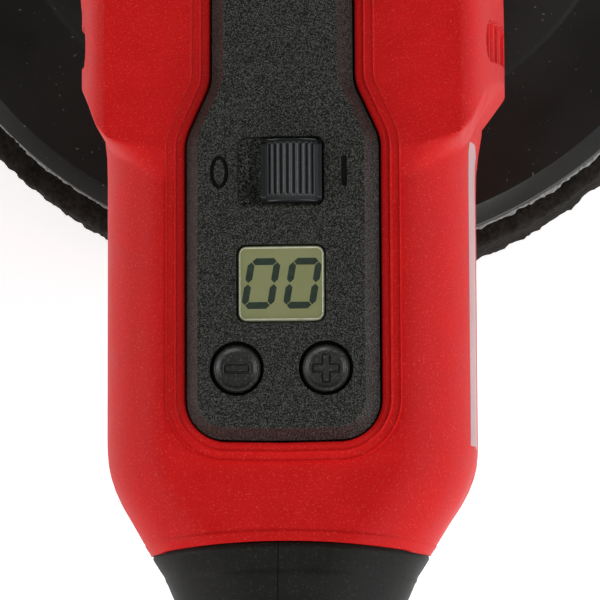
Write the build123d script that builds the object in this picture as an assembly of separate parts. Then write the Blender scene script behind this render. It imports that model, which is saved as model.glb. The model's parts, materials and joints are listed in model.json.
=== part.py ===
"""Cordless rotary polishing and waxing machine, as an assembly of separate pieces.

Frame: the spindle turns about Z, the foam pad's working face lies on Z = 0 and +Z is up.
The machine's body, grip and battery run back along -Y, and +X is the operator's right.
All sizes are in millimetres.
"""

import os
from math import atan, cos, pi, radians, sin

from build123d import *

# Polishing disc
PAD_R = 94.5
PAD_T = 25.0
FLEECE_R = 88.5
FLEECE_T = 2.0
PLATE_R = 90.0
PLATE_BEVEL = 3.6
PLATE_STEP_R = 65.0
PLATE_Z = PAD_T + FLEECE_T
INSERT_R = 13.0

# Drive line
MOTOR_Z = 95.0
MODULE = 1.25
PINION_TEETH = 9
GEAR_TEETH = 37
GEAR_FACE = 7.0
SPINDLE_R = 7.5
RUNNING_GAP = 0.05
COVER_R = 31.5
COVER_SCREW_R = 28.0
FLANGE_SCREW_X = 30.2
FLANGE_SCREW_Z = (75.5, 110.0)
THREAD_R = 6.95
LOCK_Y = 12.5
LOCK_HOLES = 12
SHAFT_R = 4.0
FAN_R = 23.0
CAN_R = 22.0
CAN_FRONT = -48.0
CAN_REAR = -100.0

# Body: (y, half width, lowest z, highest z, upper corner radius, lower corner radius)
BODY = [
    (-34.0, 37.5, 60.0, 123.5, 12.0, 20.0),
    (-40.0, 39.3, 57.5, 125.0, 9.0, 20.0),
    (-68.5, 39.3, 57.5, 125.5, 8.0, 20.0),
    (-76.5, 34.7, 60.0, 125.5, 12.5, 18.0),
    (-82.0, 33.6, 60.5, 125.5, 13.0, 18.0),
    (-134.0, 33.6, 64.0, 125.5, 13.0, 18.0),
    (-140.5, 32.0, 70.0, 125.8, 14.0, 18.0),
    (-146.0, 28.9, 79.0, 126.0, 15.0, 18.0),
    (-151.0, 25.4, 84.0, 126.2, 16.0, 17.0),
]
GRIP = [
    (-151.0, 25.4, 84.0, 126.2, 16.0, 17.0),
    (-157.0, 21.9, 86.0, 126.2, 17.0, 17.0),
    (-170.0, 19.6, 87.0, 126.2, 17.0, 17.0),
    (-195.0, 18.6, 86.5, 126.0, 17.0, 16.5),
    (-225.0, 19.0, 86.0, 125.5, 17.0, 16.5),
    (-242.0, 21.5, 84.0, 125.0, 18.0, 17.0),
]
FOOT = [
    (-242.0, 21.5, 84.0, 125.0, 18.0, 17.0),
    (-250.0, 27.0, 64.0, 123.5, 16.0, 15.0),
    (-258.0, 33.0, 32.0, 118.0, 12.0, 12.0),
    (-266.0, 34.5, 24.0, 112.0, 8.0, 8.0),
]
WALL = 2.5
SLEEVE = 3.0
GRIP_FRONT = GRIP[0][0]
GRIP_REAR = GRIP[-1][0]
FOOT_REAR = FOOT[-1][0]
BODY_FRONT = BODY[0][0]
LABEL_POCKET = 0.5
LABEL_LOW = 92.0
LABEL_HIGH = 114.0
SPIGOT = 8.0

# Control panel
PANEL_Z = 130.0
PANEL_PROUD = 4.5
PANEL_FLOOR = 121.0
SEAT_Z = 119.0
PANEL_GAP = 0.35
SLOT_Y = -85.6
SLOT_X_SIZE = 15.1
SLOT_Y_SIZE = 12.2
KNOB_X = 1.9
KNOB_X_SIZE = 10.6
KNOB_Y_SIZE = 10.8
KNOB_RISE = 4.2
SWITCH_TRAVEL = 3.8
LCD_Y = -105.2
LCD_X_SIZE = 15.1
LCD_Y_SIZE = 13.1
BUTTON_X = 7.75
BUTTON_Y = -120.0
BUTTON_R = 4.25
BUTTON_HOLE_R = 4.75
BOARD_Z = 118.7

# Battery
PACK_HALF = 37.5
PACK_FRONT = -266.6
PACK_SPLIT = -285.0
PACK_REAR = -329.0
PACK_TOP = 122.0
CELL_Z = 55.0
RAIL_LOW = 34.0
RAIL_HIGH = 90.0
CELL_R = 9.1
CELL_LENGTH = 65.0
CELL_PITCH = 19.2

# Front handle
HANDLE_TILT = 50.0
BOSS_END = 37.5
BAR_R = 9.0
HANDLE_HALF = 60.0
HANDLE_REACH = 84.0

# Air vents on the motor section
VENT_Y = -60.0
VENT_LENGTH = 7.6
VENT_TOP = 114.3
VENT_PITCH = 5.5
VENT_HEIGHT = 3.3
VENT_ROWS = 7


# ---------------------------------------------------------------- helpers


def tube(r_out, r_in, z0, z1):
    """A ring about Z from z0 to z1."""
    ring = Pos(0, 0, z0) * extrude(Circle(r_out), z1 - z0)
    return ring - Pos(0, 0, z0 - 1) * extrude(Circle(r_in), z1 - z0 + 2) if r_in else ring


def along_y(shape, z=MOTOR_Z):
    """Lays a shape made about Z along the motor's axis, its +Z pointing to -Y."""
    return Pos(0, 0, z) * Rot(90, 0, 0) * shape


def shaft(r_out, r_in, y_front, y_rear):
    """A ring about the motor's axis between two stations, both negative."""
    return along_y(tube(r_out, r_in, -y_front, -y_rear))


def block(x0, x1, y0, y1, z0, z1):
    """An axis-aligned block between two corners."""
    size = (abs(x1 - x0), abs(y1 - y0), abs(z1 - z0))
    return Pos((x0 + x1) / 2, (y0 + y1) / 2, (z0 + z1) / 2) * Box(*size)


def turned(points):
    """A solid of revolution about Z from (radius, z) points."""
    return revolve(make_face(Plane.XZ * Polyline(*points, close=True)), Axis.Z)


def rounded_block(x0, x1, y0, y1, z0, z1, radius):
    """A block whose corners are rounded in plan."""
    plan = RectangleRounded(abs(x1 - x0), abs(y1 - y0), radius)
    return Pos((x0 + x1) / 2, (y0 + y1) / 2, z0) * extrude(plan, z1 - z0)


def section(y, half, z_low, z_high, r_top, r_low):
    """A cross-section of the body: a rectangle with its own upper and lower corner radii."""
    plane = Plane(origin=(0, y, (z_low + z_high) / 2), x_dir=(1, 0, 0), z_dir=(0, -1, 0))
    shape = Rectangle(2 * half, z_high - z_low)
    shape = fillet(shape.vertices().group_by(Axis.Y)[-1], r_top)
    shape = fillet(shape.vertices().group_by(Axis.Y)[0], r_low)
    return plane * shape


def skin(stations, inset=0.0):
    """The body's outer form through its stations, drawn in by inset."""
    made = []
    for y, half, z_low, z_high, r_top, r_low in stations:
        radii = (max(r_top - inset, 3.0), max(r_low - inset, 3.0))
        made.append(section(y, half - inset, z_low + inset, z_high - inset, *radii))
    return loft(made, ruled=True)


def half_of(shape, side):
    """The part of a shape on the left (-1) or the right (+1) of the centre plane."""
    return shape & block(0, side * 60, 110, -340, -10, 200)


def ring_of(shape, count, radius, phase=0.0):
    """Copies of a shape spaced evenly on a circle about Z."""
    return [Rot(0, 0, phase + i * 360 / count) * Pos(radius, 0, 0) * shape for i in range(count)]


def screw(length, r_shank=1.5, r_head=2.8, head=2.2):
    """A pan-head screw along -Z with its head's underside on Z = 0."""
    body = tube(r_head, 0, 0, head) + tube(r_shank, 0, -length, 0)
    return body - Pos(0, 0, head / 2) * extrude(RegularPolygon(0.45 * r_head, 6), head)


# ---------------------------------------------------------------- disc


def make_foam_pad():
    """The foam polishing pad, wider than its plate and rounded at the working edge."""
    pad = tube(PAD_R, 0, 0, PAD_T)
    pad = fillet(pad.edges().group_by(Axis.Z)[0], 6)
    return fillet(pad.edges().group_by(Axis.Z)[-1], 2)


def make_backing_plate():
    """The moulded plate: bevelled rim, a low step and a hub for the steel insert."""
    z = PLATE_Z
    profile = [
        (INSERT_R, z),
        (PLATE_R - 1, z),
        (PLATE_R, z + 1),
        (PLATE_R, z + 5),
        (PLATE_R - PLATE_BEVEL, z + 8),
        (PLATE_STEP_R + 0.5, z + 8.6),
        (PLATE_STEP_R, z + 9.3),
        (34, z + 11.5),
        (28, z + 17),
        (INSERT_R, z + 17),
    ]
    return turned(profile)


def make_plate_insert():
    """The steel insert that screws on to the spindle."""
    profile = [
        (THREAD_R + 0.05, PLATE_Z + 2),
        (INSERT_R, PLATE_Z + 2),
        (INSERT_R, PLATE_Z + 21),
        (THREAD_R + 0.05, PLATE_Z + 21),
    ]
    return turned(profile)


# ---------------------------------------------------------------- gear head


def cone_numbers():
    """The bevel pair's pitch angle at the pinion, outer cone distance and inner share of it."""
    pitch_angle = atan(PINION_TEETH / GEAR_TEETH)
    outer = GEAR_TEETH * MODULE / 2 / cos(pitch_angle)
    return pitch_angle, outer, 1 - GEAR_FACE / outer


def make_pinion():
    """The small bevel gear: straight-flanked teeth that shrink towards the cones' apex."""
    pitch_angle, outer, share = cone_numbers()
    pitch_r = PINION_TEETH * MODULE / 2
    y_outer = outer * cos(pitch_angle)
    root_r, tip_r = pitch_r - 1.45, pitch_r + 1.2
    tooth = 2 * pi / PINION_TEETH
    shape = ((root_r, -0.225), (tip_r, -0.08), (tip_r, 0.08), (root_r, 0.225))
    points = []
    for i in range(PINION_TEETH):
        # A tooth points straight down, where the big gear has a gap.
        centre = i * tooth - pi / 2
        points += [(r * cos(centre + a * tooth), r * sin(centre + a * tooth)) for r, a in shape]
    wide = make_face(Polyline(*points, close=True))
    narrow = make_face(Polyline(*[(x * share, y * share) for x, y in points], close=True))
    teeth = loft([Pos(0, 0, y_outer * share) * narrow, Pos(0, 0, y_outer) * wide], ruled=True)
    hub = tube(root_r - 0.1, 0, y_outer - 0.01, 26.5)
    return along_y(teeth + hub - tube(2, 0, 0, 40))


def gear_tooth():
    """One tooth of the big bevel gear, centred on the XZ plane."""
    pitch_angle, outer, share = cone_numbers()
    lean = (sin(pitch_angle), cos(pitch_angle))
    centre = (outer * cos(pitch_angle), -outer * sin(pitch_angle))
    ends = []
    for scale in (share, 1.0):
        corners = []
        for height, half in ((-1.7, 1.1), (1.1, 0.34)):
            r = (centre[0] + height * lean[0]) * scale
            z = (centre[1] + height * lean[1]) * scale
            corners.append((r, -half * scale, z))
            corners.append((r, half * scale, z))
        a, b, d, c = (Vector(*p) for p in corners)
        ends.append(make_face(Polyline(a, b, c, d, close=True)))
    return Pos(0, 0, MOTOR_Z) * loft(ends, ruled=True)


def make_bevel_gear():
    """The big bevel gear, with a ring of holes that the spindle lock's pin drops into."""
    pitch_angle, outer, share = cone_numbers()
    root = [
        ((outer * cos(pitch_angle) - 1.45 * sin(pitch_angle)) * s,
         MOTOR_Z - (outer * sin(pitch_angle) + 1.45 * cos(pitch_angle)) * s)
        for s in (share, 1.0)
    ]
    blank = turned(
        [(SPINDLE_R, 78), (10, 78), (10, 84), (23, 84), root[1], root[0], (15.6, 89), (SPINDLE_R, 89)]
    )
    # Half a pitch of turn puts a gap at the back, under the pinion's lowest tooth.
    pitch = 360 / GEAR_TEETH
    turn = -90 + pitch / 2
    teeth = [Rot(0, 0, turn + i * pitch) * gear_tooth() for i in range(GEAR_TEETH)]
    gear = blank.fuse(*teeth)
    holes = ring_of(Pos(0, 0, 80) * extrude(Circle(2.3), 12), LOCK_HOLES, LOCK_Y)
    return gear - holes


def make_spindle():
    """The spindle: threaded nose, flange, bearing and gear seats, and a thin top end."""
    return turned(
        [
            (0, 33), (THREAD_R - 1, 33), (THREAD_R, 34), (THREAD_R, 53), (11, 53), (11, 57.2),
            (SPINDLE_R, 57.2), (SPINDLE_R, 89), (5, 89), (5, 107), (0, 107),
        ]
    )


def make_spindle_bearing():
    """The lower ball bearing, as its rings with a groove between them."""
    rings = tube(16, SPINDLE_R + RUNNING_GAP, 57.5, 66.5)
    return rings - tube(13, 10.5, 57, 58.3) - tube(13, 10.5, 65.7, 67)


def make_bearing_cover():
    """The cover under the gear head, which holds the lower bearing."""
    cover = tube(COVER_R, 12, 52, 57.5) + tube(25.4, 16, 57.5, 66.5) + tube(25.4, 12, 66.5, 70)
    holes = ring_of(Pos(0, 0, 50) * extrude(Circle(2.1), 9), 4, COVER_SCREW_R, 45)
    return cover - holes


def make_gear_housing():
    """The cast gear head: dome, rear flange, side bosses and the bores for the drive."""
    form = skin(
        [
            (-34.0, 37.0, 60.0, 123.0, 13.0, 20.0),
            (-24.0, 34.5, 59.0, 120.0, 17.0, 18.0),
            (0.0, 31.5, 58.0, 117.0, 20.0, 14.0),
            (18.0, 27.0, 59.0, 113.5, 18.0, 12.0),
            (31.0, 16.0, 64.0, 104.0, 13.0, 10.0),
        ]
    )
    form += tube(COVER_R, 0, 57.5, 64)
    for side in (-1, 1):
        form += Pos(side * 28, 0, MOTOR_Z) * Rot(0, 90, 0) * Cylinder(10.5, 2 * (BOSS_END - 28))
    form += tube(8.6, 0, 110, 119.5).moved(Location((0, LOCK_Y, 0)))
    chamber = tube(25.4, 0, 50, 98.5) + tube(8, 0, 98, 108)
    bores = shaft(8.5, 0, -5, -27.5) + shaft(11, 0, -27, -40)
    lock = Pos(0, LOCK_Y, 0) * (tube(2.6, 0, 90, 125) + tube(7.2, 0, 112, 125))
    form = form - chamber - bores - lock
    for side in (-1, 1):
        form -= Pos(side * 33.5, 0, MOTOR_Z) * Rot(0, 90, 0) * Cylinder(4.05, 12)
    for x, z in flange_screw_places():
        form -= Pos(x, 50, z) * Rot(90, 0, 0) * extrude(Circle(3.6), 78)
        form -= Pos(x, -20, z) * Rot(90, 0, 0) * extrude(Circle(1.9), 30)
    threads = ring_of(Pos(0, 0, 50) * extrude(Circle(1.9), 18), 4, COVER_SCREW_R, 45)
    return form - threads


def flange_screw_places():
    """Where the screws run through the gear head into the housing: (x, z)."""
    return [(side * FLANGE_SCREW_X, z) for side in (-1, 1) for z in FLANGE_SCREW_Z]


def make_top_bush():
    """The plain bush that guides the spindle's top end."""
    return tube(8, 5.05, 99, 107.8)


def make_lock_button():
    """The spindle lock's button with its pin, which drops into the gear's holes."""
    button = tube(6.9, 0, 117.5, 123) - tube(5.6, 0, 117, 121)
    button = fillet(button.edges().group_by(Axis.Z)[-1], 1.0)
    return Pos(0, LOCK_Y, 0) * (button + tube(2.0, 0, 90.5, 122))


def make_lock_spring():
    """The lock button's coil spring."""
    path = Helix(pitch=1.5, height=7.6, radius=4.3)
    coil = sweep(Plane(path @ 0, z_dir=path % 0) * Circle(0.4), path, is_frenet=True)
    return Pos(0, LOCK_Y, 112.6) * coil


# ---------------------------------------------------------------- motor


def make_pinion_bearing():
    """The ball bearing behind the pinion."""
    rings = shaft(11, SHAFT_R + RUNNING_GAP, -27.5, -34)
    return rings - shaft(8.6, 6.4, -27, -28.2) - shaft(8.6, 6.4, -33.3, -34.5)


def make_armature():
    """The turning core: shaft, laminations, windings and commutator."""
    core = shaft(16.5, 0, -58, -84)
    slots = [Rot(0, 0, i * 30) * Pos(15, 0, 57) * extrude(Rectangle(6, 1.6), 28) for i in range(12)]
    core -= [along_y(slot) for slot in slots]
    windings = shaft(13.5, 0, -53, -58) + shaft(13.5, 0, -84, -88)
    rod = shaft(2, 0, -17, -26.5) + shaft(SHAFT_R, 0, -26.5, -106)
    return core + windings + shaft(8, 0, -88, -97) + rod


def make_fan():
    """The cooling fan: a hub, a disc and straight blades."""
    fan = shaft(8, SHAFT_R, -36, -44.5) + shaft(FAN_R, SHAFT_R, -36, -37.2)
    blade = Pos((FAN_R + 7) / 2, 0, 37) * extrude(Rectangle(FAN_R - 8, 1.2), 7)
    return fan + [along_y(Rot(0, 0, i * 40) * blade) for i in range(9)]


def make_fan_baffle():
    """The ring that leads the cooling air from the motor into the fan."""
    plate = skin(BODY, WALL + 0.15) & block(-60, 60, -45.6, -47.2, 50, SEAT_Z - 0.2)
    return plate - shaft(14, 0, -45, -48)


def make_motor_can():
    """The steel can with its front plate."""
    can = shaft(CAN_R, 20, CAN_FRONT, CAN_REAR) + shaft(CAN_R, 6, CAN_FRONT, CAN_FRONT - 2)
    return can - [along_y(Rot(0, 0, a) * Pos(13, 0, 46) * extrude(Circle(3), 6)) for a in (0, 90, 180, 270)]


def make_magnets():
    """The can's two arc magnets."""
    ring = shaft(20, 17.3, -54, -90)
    return ring - block(-40, 40, -50, -95, MOTOR_Z - 5, MOTOR_Z + 5)


def make_end_bell():
    """The motor's rear cover with the brush boxes and the rear bearing's seat."""
    bell = shaft(CAN_R, 12, CAN_REAR, -103) + shaft(12, SHAFT_R + 0.05, -101, -107)
    for side in (-1, 1):
        box = block(side * 8.4, side * 17.5, -88.5, -102, MOTOR_Z - 3.6, MOTOR_Z + 3.6)
        bell += box - block(side * 8, side * 18, -90, -97, MOTOR_Z - 2.5, MOTOR_Z + 2.5)
    return bell


def make_brushes():
    """The two carbon brushes in their boxes."""
    brush = [block(s * 8.1, s * 14, -90.2, -96.8, MOTOR_Z - 2.3, MOTOR_Z + 2.3) for s in (-1, 1)]
    return Compound(brush)


# ---------------------------------------------------------------- body


def panel_plan(half_wide, half_narrow, y_rear, y_front, corner):
    """The control panel's outline: wide at the controls and narrow towards the gear head."""
    y_wide, y_narrow = -79.2, -69.4
    right = [(half_narrow, y_front), (half_narrow, y_narrow), (half_wide, y_wide), (half_wide, y_rear)]
    left = [(-x, y) for x, y in reversed(right)]
    line = Polyline(*left, *right) + ThreePointArc(right[-1], (0, y_rear - 0.5), left[0])
    plan = make_face(line)
    by_y = plan.vertices().group_by(Axis.Y)
    plan = fillet(by_y[0], corner)
    by_y = plan.vertices().group_by(Axis.Y)
    plan = fillet(by_y[-1], 3)
    bends = [v for v in plan.vertices() if abs(v.Y - y_wide) < 0.1 or abs(v.Y - y_narrow) < 0.1]
    return fillet(bends, 8)


BASE_PLAN = dict(half_wide=16.9, half_narrow=12.4, y_rear=-131.8, y_front=-38.0, corner=6.8)
FACE_PLAN = dict(half_wide=14.6, half_narrow=9.9, y_rear=-129.9, y_front=-40.5, corner=5.0)


def grown(plan, by):
    """A plan's numbers with the outline moved out by a distance."""
    return dict(
        half_wide=plan["half_wide"] + by,
        half_narrow=plan["half_narrow"] + by,
        y_rear=plan["y_rear"] - by,
        y_front=plan["y_front"] + by,
        corner=plan["corner"] + by,
    )


def make_handle_core():
    """The hard core under the soft grip, with a spigot at each end."""
    front = (GRIP_FRONT + SPIGOT, *GRIP[0][1:])
    rear = (GRIP_REAR - SPIGOT, *GRIP[-1][1:])
    return skin([front, *GRIP[1:-1], rear], SLEEVE)


def make_body():
    """Both halves of the red housing in one piece, hollow, with ribs, vents and openings."""
    core = make_handle_core()
    solid = skin(BODY) + core
    front = skin([(BODY_FRONT + 1, *BODY[0][1:]), *BODY[1:-1]], WALL)
    middle = skin([(-144.0, *GRIP[1][1:]), *GRIP[2:-1], (-250.0, *GRIP[-1][1:])], SLEEVE + 2.2)
    shell = solid - front - middle

    for y in (-52.0, -94.0):
        rib = skin(BODY[1:-2], 1.0) & block(-60, 60, y, y - 2, 50, 117.4)
        shell += rib - shaft(CAN_R, 0, y + 1, y - 3)

    shell += Pos(0, 0, SEAT_Z) * extrude(panel_plan(**grown(BASE_PLAN, 2)), 5)
    shell -= Pos(0, 0, PANEL_FLOOR) * extrude(panel_plan(**grown(BASE_PLAN, PANEL_GAP)), 12)
    shell -= Pos(0, 0, SEAT_Z - 1) * extrude(panel_plan(**grown(FACE_PLAN, -0.6)), 12)

    for y, z in housing_screw_places():
        shell += Pos(0, y, z) * Rot(0, 90, 0) * Cylinder(4.2, 90) & solid
        shell -= Pos(-0.5, y, z) * Rot(0, 90, 0) * Cylinder(1.55, 19.2)
        shell -= Pos(-40, y, z) * Rot(0, 90, 0) * Cylinder(3.1, 60)
    for x, z in flange_screw_places():
        shell += Pos(x, BODY_FRONT, z) * Rot(90, 0, 0) * extrude(Circle(4.2), 11) & solid
        shell -= Pos(x, -30, z) * Rot(90, 0, 0) * extrude(Circle(1.9), 14)

    slot = rounded_block(-45, 45, VENT_Y - VENT_LENGTH / 2, VENT_Y + VENT_LENGTH / 2, 0, VENT_HEIGHT, 0.8)
    exhaust = rounded_block(-45, 45, -48, -40.5, 0, VENT_HEIGHT, 0.8)
    keep = block(-32, 32, -30, -70, 50, 130)
    for row in range(VENT_ROWS):
        z = VENT_TOP - row * VENT_PITCH
        shell -= Pos(0, 0, z) * slot - keep
        if row > 0:
            shell -= Pos(0, 0, z) * exhaust - keep
    pocket = (solid - skin(BODY, LABEL_POCKET)) & block(20, 45, -77.6, -133.4, LABEL_LOW - 0.4, LABEL_HIGH + 0.4)
    return shell - pocket


def make_battery_mount():
    """The foot at the rear of the handle, with the rails that carry the battery."""
    mount = skin(FOOT)
    rear = skin([(-251.5, 25.0, 66.0, 123.0, 15.0, 14.0), *FOOT[2:3], (-262.5, 34.0, 28.0, 115.0, 10.0, 9.0)], WALL)
    mount = mount - rear - make_handle_core()
    mount -= skin([(GRIP_REAR + 1, *GRIP[-1][1:]), (-252.5, *GRIP[-1][1:])], SLEEVE + 2.2)
    mount += block(-18, 18, FOOT_REAR + 1, -270, RAIL_LOW, RAIL_HIGH)
    mount += block(-23, 23, -270, -274, RAIL_LOW, RAIL_HIGH)
    mount -= block(-12, 12, -262, -275, 42, 62)
    return mount - block(-9.6, 9.6, -263.9, -268, 104.4, 120)


def make_housing(side, body):
    """One clamshell half of the red housing."""
    return half_of(body, side)


def make_grip(side):
    """One half of the soft grip over the handle."""
    grip = half_of(skin(GRIP) - make_handle_core(), side)
    if side < 0:
        for y, z in housing_screw_places():
            grip -= Pos(-40, y, z) * Rot(0, 90, 0) * Cylinder(3.1, 60)
    return grip


def make_label():
    """The blank rating label, curved with the body, in its shallow pocket on the right-hand side."""
    film = skin(BODY, LABEL_POCKET - 0.25) - skin(BODY, LABEL_POCKET)
    return film & block(20, 45, -78.0, -133.0, LABEL_LOW, LABEL_HIGH)


def housing_screw_places():
    """Where the screws join the housing's halves: (y, z)."""
    return [(-118.0, 72.5), (-138.0, 80.0), (-200.0, 94.5), (-236.0, 93.0)]


def make_housing_screws():
    """The clamshell's screws, entered from the left, with their heads in the left half."""
    made = []
    for y, z in housing_screw_places():
        made.append(Pos(-10, y, z) * Rot(0, -90, 0) * screw(18))
    return Compound(made)


# ---------------------------------------------------------------- controls


def make_control_panel():
    """The black control panel: a tapered tray with its slot, window, holes and marks."""
    base = panel_plan(**BASE_PLAN)
    face = panel_plan(**FACE_PLAN)
    foot_z = PANEL_Z - PANEL_PROUD
    panel = loft([Pos(0, 0, foot_z) * base, Pos(0, 0, PANEL_Z) * face], ruled=True)
    panel += Pos(0, 0, PANEL_FLOOR) * extrude(base, foot_z - PANEL_FLOOR)
    inside = panel_plan(**grown(FACE_PLAN, -0.6))
    panel -= Pos(0, 0, PANEL_FLOOR - 1) * extrude(inside, 127.6 - PANEL_FLOOR + 1)
    slot = RectangleRounded(SLOT_X_SIZE, SLOT_Y_SIZE, 1.4)
    window = RectangleRounded(LCD_X_SIZE + 0.6, LCD_Y_SIZE + 0.6, 1.7)
    panel -= Pos(0, SLOT_Y, 125) * extrude(slot, 10)
    panel -= Pos(0, LCD_Y, 125) * extrude(window, 10)
    for side in (-1, 1):
        panel -= Pos(side * BUTTON_X, BUTTON_Y, 125) * extrude(Circle(BUTTON_HOLE_R), 10)
    for x, y in board_screw_places():
        panel += Pos(x, y, BOARD_Z + 1.6) * extrude(Circle(1.8) - Circle(0.95), 127.8 - BOARD_Z - 1.6)
    zero = Ellipse(1.65, 2.9) - Ellipse(0.95, 2.15)
    one = RectangleRounded(1.0, 5.3, 0.35)
    panel -= Pos(-10.75, SLOT_Y, PANEL_Z - 0.4) * extrude(zero, 1)
    panel -= Pos(11.05, SLOT_Y, PANEL_Z - 0.4) * extrude(one, 1)
    return panel


def make_switch_knob():
    """The sliding on/off knob: a ribbed barrel on a flat carrier under the panel."""
    top = PANEL_Z + KNOB_RISE
    barrel_r = 6.6
    barrel = Rot(90, 0, 0) * Cylinder(barrel_r, KNOB_Y_SIZE)
    barrel = Pos(0, 0, top - barrel_r) * barrel
    knob = barrel & block(-KNOB_X_SIZE / 2, KNOB_X_SIZE / 2, -10, 10, 126, top + 1)
    rib_pitch = 1.12
    for i in range(-3, 5):
        angle = (i - 0.5) * rib_pitch / barrel_r
        x = barrel_r * sin(angle)
        z = top - barrel_r + barrel_r * cos(angle)
        groove = Pos(x, 0, z) * Rot(90, 0, 0) * Cylinder(0.27, KNOB_Y_SIZE - 1.2)
        knob -= groove
    knob += block(-10.2, 10.2, -7.4, 7.4, 125.6, 127.3)
    knob += block(-1, 1, -1.4, 1.4, 122.8, 125.7)
    return Pos(KNOB_X, SLOT_Y, 0) * knob


def make_power_switch():
    """The slide switch under the knob, on the control board."""
    body = block(-7, 7, SLOT_Y - 4, SLOT_Y + 4, BOARD_Z + 1.6, 125.2)
    reach = KNOB_X - SWITCH_TRAVEL
    return body - block(reach - 1.5, KNOB_X + 1.5, SLOT_Y - 2, SLOT_Y + 2, 122.2, 126)


def make_button(side):
    """A round speed button with its sign sunk into the cap."""
    top = PANEL_Z + 0.5
    cap = Pos(0, 0, 125.6) * extrude(Circle(BUTTON_R), top - 125.6)
    cap = fillet(cap.edges().group_by(Axis.Z)[-1], 0.7)
    cap += Pos(0, 0, 124.8) * extrude(Circle(5.3), 1.2)
    sign = Rectangle(4.4, 1.15)
    if side > 0:
        sign += Rectangle(1.15, 5.0)
    cap -= Pos(0, 0, top - 0.35) * extrude(sign, 1)
    return Pos(side * BUTTON_X, BUTTON_Y, 0) * cap


def make_lcd_window():
    """The clear window over the display, with rounded edges."""
    plan = RectangleRounded(LCD_X_SIZE, LCD_Y_SIZE, 1.4)
    window = Pos(0, LCD_Y, 126.9) * extrude(plan, 2.6)
    return fillet(window.edges().group_by(Axis.Z)[-1], 0.5)


def make_lcd_module():
    """The two-digit display under the window."""
    return rounded_block(-8.8, 8.8, LCD_Y - 7.6, LCD_Y + 7.6, BOARD_Z + 1.6, 126.9, 0.8)


def board_screw_places():
    """Where the control board is screwed to the panel: (x, y)."""
    return [(-11.6, -95.6), (11.6, -95.6)]


def make_control_board():
    """The control board under the panel."""
    board = block(-13.4, 13.4, -127.5, -78.6, BOARD_Z, BOARD_Z + 1.6)
    return board - [Pos(x, y, BOARD_Z - 1) * extrude(Circle(1.0), 4) for x, y in board_screw_places()]


def make_board_screws():
    """The two screws that hold the control board under the panel."""
    one = Pos(0, 0, BOARD_Z) * Rot(180, 0, 0) * screw(5, 0.95, 1.8, 1.2)
    return Compound([Pos(x, y, 0) * one for x, y in board_screw_places()])


def make_button_switches():
    """The two push switches under the speed buttons."""
    made = []
    for side in (-1, 1):
        made.append(
            block(side * BUTTON_X - 3, side * BUTTON_X + 3, BUTTON_Y - 3, BUTTON_Y + 3, BOARD_Z + 1.6, 123.6)
        )
    return Compound(made)


def make_speed_controller():
    """The power electronics in the handle, with a finned heat sink."""
    body = block(-9.5, 9.5, -222, -172, 103, 113)
    for i in range(4):
        body += block(-7.8 + i * 4.6, -6.0 + i * 4.6, -218, -176, 113, 117.6)
    return body


def wire(points, bend, radius=1.1):
    """An insulated wire along straight runs joined by arcs of one bend radius."""
    path = FilletPolyline(*points, radius=bend)
    return sweep(Plane(path @ 0, z_dir=path % 0) * Circle(radius), path)


def make_motor_wires():
    """The two wires from the speed controller to the motor."""
    made = []
    for x in (-1, 1):
        route = [(x * 5, -172, 108), (x * 5, -150, 108), (x * 15, -127, 95), (x * 15, -103, 95)]
        made.append(wire(route, bend=18))
    return Compound(made)


def make_battery_wires():
    """The two wires from the battery terminals to the speed controller."""
    made = []
    for x in (-1, 1):
        route = [(x * 6, -260, 61), (x * 6, -260, 98), (x * 5, -247, 109), (x * 5, -222, 109)]
        made.append(wire(route, bend=12))
    return Compound(made)


def make_terminal_block():
    """The contact block that plugs into the battery."""
    body = block(-11, 11, -257.5, -274, 43, 61)
    for x in (-7, 0, 7):
        body += block(x - 0.4, x + 0.4, -274, -279, 45, 59)
    return body


# ---------------------------------------------------------------- battery


def pack_form(y0, y1):
    """The battery's outer form between two stations."""
    height = PACK_TOP
    plane = Plane(origin=(0, y0, height / 2), x_dir=(1, 0, 0), z_dir=(0, -1, 0))
    return extrude(plane * RectangleRounded(2 * PACK_HALF, height, 9), y0 - y1)


def pack_hollow(y0, y1):
    """The battery's inner space between two stations."""
    plane = Plane(origin=(0, y0, PACK_TOP / 2), x_dir=(1, 0, 0), z_dir=(0, -1, 0))
    return extrude(plane * RectangleRounded(2 * PACK_HALF - 5, PACK_TOP - 5, 6.5), y0 - y1)


def make_pack_front():
    """The battery's tool-side case, with the channel that slides over the rails."""
    case = pack_form(PACK_FRONT, PACK_SPLIT) - pack_hollow(-277.2, PACK_SPLIT - 1)
    case += block(-14, 14, -277.2, -282, 1, 74)
    case -= block(-18.6, 18.6, -260, -270.2, -5, 93)
    case -= block(-23.6, 23.6, -269.6, -274.6, -5, 93)
    case -= block(-11.8, 11.8, -274, -280, -5, 70)
    return case - block(-13, 13, -260, -280, 102.5, 119.4)


def make_pack_rear():
    """The battery's outer case with a ribbed rear face and the charge indicator's pocket."""
    case = pack_form(PACK_SPLIT, PACK_REAR)
    case = fillet(case.edges().group_by(Axis.Y)[0], 5)
    case -= pack_hollow(PACK_SPLIT + 1, PACK_REAR + 2.5)
    for i in range(5):
        z = 24 + i * 9
        case -= block(-26, 26, PACK_REAR - 2, PACK_REAR + 0.8, z, z + 2.4)
    case -= block(-13, 13, PACK_REAR - 2, PACK_REAR + 1.0, 78, 88)
    return case - Pos(8, PACK_REAR, 83) * Rot(90, 0, 0) * Cylinder(2.7, 12)


def make_charge_gauge():
    """The charge indicator's window, with three lamp dots and a hole for its button."""
    gauge = block(-12.6, 12.6, PACK_REAR + 1.0, PACK_REAR + 0.3, 78.4, 87.6)
    gauge -= Pos(8, PACK_REAR, 83) * Rot(90, 0, 0) * Cylinder(2.7, 6)
    lamp = Rot(90, 0, 0) * Cylinder(1.1, 0.5)
    return gauge - [Pos(-8 + i * 4.5, PACK_REAR + 0.3, 83) * lamp for i in range(3)]


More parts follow.
